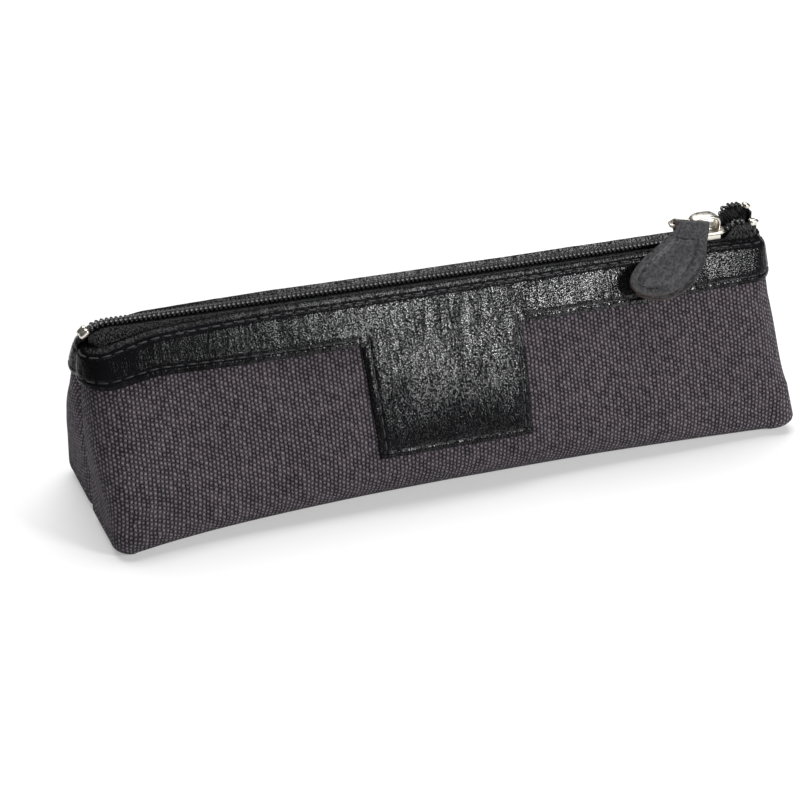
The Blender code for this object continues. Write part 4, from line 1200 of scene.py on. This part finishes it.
class PENCILCASE_OT_stops(bpy.types.Operator):
    """Model the stops at both ends of the chains"""

    bl_idname = "pencil_case.stops"
    bl_label = "Zip stops"

    def execute(self, context):
        wall = Wall()
        run, half, height = wall.bottom_length, wall.bottom_half, wall.stop_height
        foot = wall.tape / 2 + height / 2

        def stop(name, x, y, rear, size, up, segments, radius=STOP_ROUND_SHARE * height):
            """A block that is set on the chain."""
            above = wall.chain_up(x, rear)
            turn = Matrix((Vector((0, 1, 0)).cross(above), (0, 1, 0), above)).transposed()
            place = Vector((x, y, wall.chain(x, rear).z))
            place = wall.placed(place, rear) + turn @ Vector((0, 0, up))
            return rounded_block(name, size, place, turn, radius, segments)

        x = -wall.zip_span / 2 + BOTTOM_PLACE_SHARE * run
        size = (run, LOBE_WIDTH_SHARE * half, height)
        lobes = [stop("lobe", x, y, False, size, foot, 5) for y in (-half / 2, half / 2)]
        size = (BAR_LENGTH_SHARE * run, BAR_WIDTH_SHARE * half, BAR_HEIGHT_SHARE * height)
        sink = BAR_SINK_SHARE * height
        lobes.append(stop("bar", x, 0.0, False, size, foot - sink, 4, sink))
        joined("bottom_stop", lobes, "case", "zip_bottom_stop")
        size = (CLIP_LENGTH_SHARE * wall.stop_length, wall.stop_width, height)
        for side, rear in SIDES:
            inset = wall.end_inset * (REAR_INSET_SHARE if rear else 1.0)
            x = wall.zip_span / 2 - inset - wall.stop_length / 2
            y = wall.chain(x, rear).y - wall.stop_width / 4
            joined(f"{side}_stop", [stop("clip", x, y, rear, size, foot / 2, 6)], "case", f"{side}_top_stop")
        return {"FINISHED"}


def outline_block(name, outline, low, high, turn, foot, radius):
    """A plate over an outline, extruded from one height to another, with rounded edges."""
    bm = bmesh.new()
    face = bm.faces.new([bm.verts.new((x, y, low)) for x, y in outline])
    made = bmesh.ops.extrude_face_region(bm, geom=[face])
    raised = [item for item in made["geom"] if isinstance(item, bmesh.types.BMVert)]
    bmesh.ops.translate(bm, verts=raised, vec=(0, 0, high - low))
    bmesh.ops.recalc_face_normals(bm, faces=bm.faces)
    item = object_from(name, bm)
    round_edges(item, radius, SMOOTH_ANGLE, 4)
    return moved(item, foot, turn)


def smooth_through(points, steps):
    """A smooth line through points, as a Catmull-Rom curve."""
    made = []
    ends = [points[0], *points, points[-1]]
    for a, b, c, d in zip(ends, points, points[1:], ends[3:]):
        for t in spread(0, 1, steps)[:-1]:
            curve = 2 * b + (c - a) * t + (2 * a - 5 * b + 4 * c - d) * t**2 + (3 * b - a - 3 * c + d) * t**3
            made.append(0.5 * curve)
    return made + [points[-1]]


def plate_outline(wall, width):
    """Outline of a slider plate, from its tail to its nose and back."""
    near = [Vector((wall.slider_length / 2 * along, -width / 2 * out)) for along, out in PLATE_SHARES]
    near = smooth_through(near, CURVE_STEPS[0])
    return near + [Vector((point.x, -point.y)) for point in reversed(near[1:-1])]


def plate_heights(wall):
    """Lowest and highest level of the upper plate over the tape's middle."""
    foot = wall.tape / 2 + wall.seam_gap + wall.coil_height + wall.clearance
    return foot, foot + wall.plate


class PENCILCASE_OT_slider(bpy.types.Operator):
    """Model the slider and its arch"""

    bl_idname = "pencil_case.slider"
    bl_label = "Slider"

    def execute(self, context):
        wall = Wall()
        turn = Matrix.Rotation(math.atan(RIDGE_TILT_SHARE), 3, "Y")
        foot = wall.on_ridge((0, 0, 0))
        low, high = plate_heights(wall)
        under = -wall.tape / 2 - wall.clearance
        upper, lower = [plate_outline(wall, width) for width in (wall.slider_width, wall.lower_width)]
        parts = [
            outline_block("upper_plate", upper, low, high, turn, foot, PLATE_ROUND),
            outline_block("lower_plate", lower, under - wall.plate, under, turn, foot, LOWER_ROUND),
        ]
        nose = wall.slider_length / 2 - wall.plate - BRIDGE_LENGTH / 2
        place = foot + turn @ Vector((nose, 0, (low + under) / 2))
        size = (BRIDGE_LENGTH, BRIDGE_WIDTH, low - under + wall.plate)
        parts.append(rounded_block("bridge", size, place, turn, BRIDGE_ROUND, 2))
        wide, bottom = FLANGE_WIDTH_SHARE * wall.plate, wall.tape / 2 + wall.clearance
        out = (FLANGE_OUT_SHARE * wall.slider_width - wide) / 2
        size = (FLANGE_LENGTH_SHARE * wall.slider_length, wide, high - wall.plate / 2 - bottom)
        for side in (-1, 1):
            place = foot + turn @ Vector((0, side * out, (bottom + high - wall.plate / 2) / 2))
            parts.append(rounded_block("flange", size, place, turn, FLANGE_ROUND))
        half = (wall.arch_length - wall.arch_bar) / 2
        base = high - wall.plate / 2
        rise = wall.arch_height - wall.arch_bar / 2 + wall.plate / 2
        shares = list(ARCH_SHARES) + [(-along, up) for along, up in reversed(ARCH_SHARES[:-1])]
        spine = [Vector((half * along - ARCH_SHIFT, 0, base + rise * up)) for along, up in shares]
        spine = smooth_through(spine, CURVE_STEPS[0])
        bm = bmesh.new()
        rings = []
        for k, point in enumerate(spine):
            ahead = (spine[min(k + 1, len(spine) - 1)] - spine[max(k - 1, 0)]).normalized()
            up = ahead.cross(Vector((0, -1, 0))) * wall.arch_bar / 2
            crown = max(0.0, (point.z - high) / wall.arch_height)
            wide = wall.arch_width / 2 * (ARCH_FOOT_SHARE + (1 - ARCH_FOOT_SHARE) * crown)
            ring = []
            for angle in spread(0, 2 * math.pi, ARCH_SIDES)[:-1]:
                side = Vector((0, squared(math.cos(angle), ARCH_SQUARE[0]) * wide, 0))
                ring.append(bm.verts.new(point + side + up * squared(math.sin(angle), ARCH_SQUARE[1])))
            rings.append(ring)
        skin(bm, rings)
        bmesh.ops.recalc_face_normals(bm, faces=bm.faces)
        parts.append(moved(object_from("arch", bm), foot, turn))
        joined("slider", parts, "slider", "slider_body")
        return {"FINISHED"}


def ring_frame():
    """How the ring is turned where it lies."""
    turn = Matrix.Rotation(RING_YAW, 3, "Z") @ Matrix.Rotation(RING_PITCH, 3, "Y")
    return turn @ Matrix.Rotation(RING_ROLL, 3, "X")


def ring_pin(wall):
    """The place under the arch where the ring turns."""
    return wall.on_ridge((-wall.ring_place, 0, plate_heights(wall)[1] + wall.ring_height))


def pin_in_ring(wall):
    """The same place, in the ring's own plane."""
    start = Vector((wall.ring_base / 2, wall.ring_leg, 0))
    return start.lerp(Vector((wall.ring_back / 2, wall.ring_depth, 0)), PIN_SHARE)


def rounded(corners, radius, steps=8):
    """A closed outline with an arc in place of each corner."""
    made = []
    for k, corner in enumerate(corners):
        before = (corners[k - 1] - corner).normalized()
        after = (corners[(k + 1) % len(corners)] - corner).normalized()
        half = before.angle(after) / 2
        centre = corner + (before + after).normalized() * radius / math.sin(half)
        start = corner + before * radius / math.tan(half) - centre
        end = corner + after * radius / math.tan(half) - centre
        turn = start.angle(end)
        for share in spread(0, 1, steps):
            arm = start * math.sin((1 - share) * turn) + end * math.sin(share * turn)
            made.append(centre + arm / math.sin(turn))
    return made


class PENCILCASE_OT_ring(bpy.types.Operator):
    """Model the wire ring that carries the puller"""

    bl_idname = "pencil_case.ring"
    bl_label = "Pull ring"

    def execute(self, context):
        wall = Wall()
        half, back = wall.ring_base / 2, wall.ring_back / 2
        right = [(half, 0), (half, wall.ring_leg), (back, wall.ring_depth)]
        corners = [Vector((x, y, 0)) for x, y in right] + [Vector((-x, y, 0)) for x, y in reversed(right)]
        turn, pin = ring_frame(), ring_pin(wall)
        line = rounded(corners, wall.ring_corner)
        centres = [pin + turn @ (point - pin_in_ring(wall)) for point in line]
        count = len(centres)
        bm = bmesh.new()
        tube(bm, centres, [wall.ring_wire / 2] * count, [turn.col[2]] * count, RING_SIDES, closed=True)
        bmesh.ops.recalc_face_normals(bm, faces=bm.faces)
        dressed(object_from("wire_ring", bm, shared(nickel_material)), "ring", "pull_ring")
        return {"FINISHED"}


def leaf_line(sizes, top):
    """The front leaf's outline, from the fold down its left side and up its right one."""
    edge = [(sizes.width * across, -sizes.drop_length * down) for across, down in PULLER_OUTLINE_SHARES]
    half = sizes.neck / 2
    return smooth_through([Vector(point) for point in ((-half, top), *edge, (half, top))], CURVE_STEPS[1])


def leaf_span(line, z):
    """The leftmost and rightmost places of the outline at a height."""
    crossings = []
    for before, after in zip(line, line[1:]):
        if (before.y - z) * (after.y - z) <= 0 and before.y != after.y:
            crossings.append(before.x + (after.x - before.x) * (z - before.y) / (after.y - before.y))
    return min(crossings), max(crossings)


def padding(sizes, edge):
    """How far the front leaf stands out: flat at its rim, drawn in at the stitches and padded inside them."""
    inside = clamp((edge - sizes.stitch_inset) / PAD_LENGTH)
    return PAD_RISE * eased(inside) - PAD_GROOVE * bell(edge - sizes.stitch_inset, GROOVE_WIDTH)


class PENCILCASE_OT_puller(bpy.types.Operator):
    """Model the folded leather puller and its stitches"""

    bl_idname = "pencil_case.puller"
    bl_label = "Leather puller"

    def execute(self, context):
        wall, sizes = Wall(), context.scene.puller_sizes
        top = -sizes.hole - sizes.leaf / 2
        line = leaf_line(sizes, top)
        lowest = min(point.y for point in line)
        outside, radius = sizes.leaf + PULLER_GAP, sizes.hole + sizes.leaf
        shares = [math.sin(share * math.pi / 2) for share in spread(0, 1, PULLER_DOWN)]
        heights = [top + (lowest - top) * share * PULLER_LOW_SHARE for share in shares]

        def down(z):
            return clamp((z - top) / (lowest - top))

        def bow(z):
            return PULLER_BOW * math.sin(down(z) * math.pi)

        rows = []
        for z in reversed(heights):
            left, right = leaf_span(line, z)
            row = []
            for x in spread(left, right, PULLER_ACROSS):
                edge = min(x - left, right - x, z - lowest, sizes.stitch_inset - sizes.neck_stitch - z)
                row.append(Vector((x, -outside - bow(z) - padding(sizes, edge), z)))
            rows.append(row)
        for turn in spread(0, math.pi, FOLD_STEPS)[1:-1]:
            y, z = -radius * math.cos(turn), radius * math.sin(turn)
            rows.append([Vector((x, y, z)) for x in spread(-sizes.neck / 2, sizes.neck / 2, PULLER_ACROSS)])
        for z in heights:
            left, right = leaf_span(line, z)
            slip, low = sizes.slip * clamp(SLIP_SHARE * down(z)), sizes.drop * down(z)
            rows.append([Vector((x + slip, outside, z - low)) for x in spread(left, right, PULLER_ACROSS)])
        bm = bmesh.new()
        grid = [[bm.verts.new(point) for point in row] for row in rows]
        for row, after in zip(grid, grid[1:]):
            for c in range(PULLER_ACROSS):
                bm.faces.new((row[c], row[c + 1], after[c + 1], after[c]))
        made = object_from("folded_leather", bm, shared(puller_material), shared(raw_edge_material))
        shade_smooth(made)
        leaf = {"thickness": LEAF_SHARE * sizes.leaf, "offset": -1.0, "use_even_offset": True}
        add_step(made, "SOLIDIFY", material_offset_rim=1, **leaf)
        round_edges(made, *LEAF_EDGE)
        dressed(made, "puller", "puller_leather")
        turn = ring_frame() @ Matrix.Rotation(-PULLER_LEAN - RING_ROLL, 3, "X")
        pin = ring_pin(wall) - ring_frame() @ pin_in_ring(wall)
        moved(made, pin, turn)
        loop = []
        for before, corner, after in zip(line, line[1:], line[2:]):
            along = ((corner - before).normalized() + (after - corner).normalized()).normalized()
            loop.append(corner + Vector((-along.y, along.x)) * sizes.stitch_inset)
        loop = [point for point in loop if point.y < -sizes.neck_stitch]
        bm = bmesh.new()
        for seam in (loop, [loop[-1], loop[0]]):
            places = [Vector((point.x, SEAM_LIFT - outside - bow(point.y), point.y)) for point in seam]
            points = [pin + turn @ place for place in places]
            sewn(bm, points, [turn @ Vector((0, -1, 0))] * len(points), sizes.stitch_pitch, wall.thread)
        made = object_from("puller_stitches", bm, shared(thread_material))
        dressed(made, "puller", "puller_thread")
        return {"FINISHED"}


class PENCILCASE_OT_stage(bpy.types.Operator):
    """Set up the floor, the lights and the camera"""

    bl_idname = "pencil_case.stage"
    bl_label = "Floor, lights and camera"

    def execute(self, context):
        scene = context.scene
        bpy.ops.object.select_all(action="DESELECT")
        bpy.ops.mesh.primitive_plane_add(size=FLOOR_SIZE)
        floor = context.active_object
        floor.name = "floor"
        # Matt white paper. For the camera alone a part of it glows, so that the background renders white.
        made, tree, shader, colours = new_material("white paper sweep")
        fill(shader, {"Base Color": linear(colours.floor), "Roughness": 0.9, "Specular IOR Level": 0.0})
        glow = node(tree, "Emission", {"Color": (1, 1, 1, 1), "Strength": 1.0})
        part = node(tree, "Math", {0: node(tree, "LightPath"), 1: FLOOR_GLOW}, operation="MULTIPLY")
        both = node(tree, "MixShader", {0: part, 1: shader.outputs[0], 2: glow})
        fill(tree.nodes["Material Output"], {"Surface": both})
        floor.data.materials.append(made)
        floor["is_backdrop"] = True
        scene.world = bpy.data.worlds.new("pale room")
        scene.world.use_nodes = True
        room = {"Color": (1, 1, 1, 1), "Strength": ROOM_LIGHT}
        fill(scene.world.node_tree.nodes["Background"], room)
        for name, (place, aim, (wide, deep), power) in LIGHTS.items():
            lamp = bpy.data.lights.new(name, "AREA")
            lamp.shape = "RECTANGLE"
            lamp.size, lamp.size_y, lamp.energy = wide, deep, power
            item = bpy.data.objects.new(name, lamp)
            item.location = place
            item.rotation_euler = (Vector(aim) - Vector(place)).to_track_quat("-Z", "Y").to_euler()
            scene.collection.objects.link(item)
        flat = math.cos(CAMERA_LIFT)
        back = Vector((math.sin(CAMERA_TURN) * flat, -math.cos(CAMERA_TURN) * flat, math.sin(CAMERA_LIFT)))
        right = Vector((math.cos(CAMERA_TURN), math.sin(CAMERA_TURN), 0))
        axes = Matrix((right, back.cross(right), back)).transposed().to_4x4()
        camera = bpy.data.objects.new("camera", bpy.data.cameras.new("camera"))
        place = Vector((-Wall().shift, 0, CAMERA_AIM)) + back * CAMERA_DISTANCE
        camera.matrix_world = Matrix.Translation(place) @ axes @ Matrix.Rotation(-CAMERA_TILT, 4, "Z")
        camera.data.sensor_width = SENSOR
        camera.data.lens = FOCAL / PICTURE * SENSOR
        camera.data.shift_x = 0.5 - CENTRE_X / PICTURE
        camera.data.shift_y = CENTRE_Y / PICTURE - 0.5
        scene.collection.objects.link(camera)
        scene.camera = camera
        scene.view_settings.view_transform = "Standard"
        return {"FINISHED"}


class PENCILCASE_PT_panel(bpy.types.Panel):
    """The pieces of the pencil case, in the order in which they are made"""

    bl_label = "Pencil case"
    bl_idname = "PENCILCASE_PT_panel"
    bl_space_type = "VIEW_3D"
    bl_region_type = "UI"
    bl_category = "Pencil case"

    def draw(self, context):
        for step in STEPS:
            self.layout.operator(step.bl_idname)


STEPS = (
    PENCILCASE_OT_canvas,
    PENCILCASE_OT_bands,
    PENCILCASE_OT_stitches,
    PENCILCASE_OT_tapes,
    PENCILCASE_OT_coils,
    PENCILCASE_OT_stops,
    PENCILCASE_OT_slider,
    PENCILCASE_OT_ring,
    PENCILCASE_OT_puller,
    PENCILCASE_OT_stage,
)
GROUPS = (
    ("case_sizes", CaseSizes),
    ("zip_sizes", ZipSizes),
    ("puller_sizes", PullerSizes),
    ("case_colours", CaseColours),
)


def register():
    """Adds the sizes, the steps and the panel to Blender."""
    for name, group in GROUPS:
        bpy.utils.register_class(group)
        setattr(bpy.types.Scene, name, PointerProperty(type=group))
    for step in STEPS:
        bpy.utils.register_class(step)
    bpy.utils.register_class(PENCILCASE_PT_panel)


def unregister():
    """Takes them out again."""
    bpy.utils.unregister_class(PENCILCASE_PT_panel)
    for step in reversed(STEPS):
        bpy.utils.unregister_class(step)
    for name, group in reversed(GROUPS):
        delattr(bpy.types.Scene, name)
        bpy.utils.unregister_class(group)


def main():
    """Makes every piece in order."""
    register()
    for step in STEPS:
        group, name = step.bl_idname.split(".")
        getattr(getattr(bpy.ops, group), name)()
    boxes = {"cad": CAD_BOX, "visual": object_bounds()}
    plain = {name: [list(corner) for corner in box] for name, box in boxes.items()}


if __name__ == "__main__":
    main()
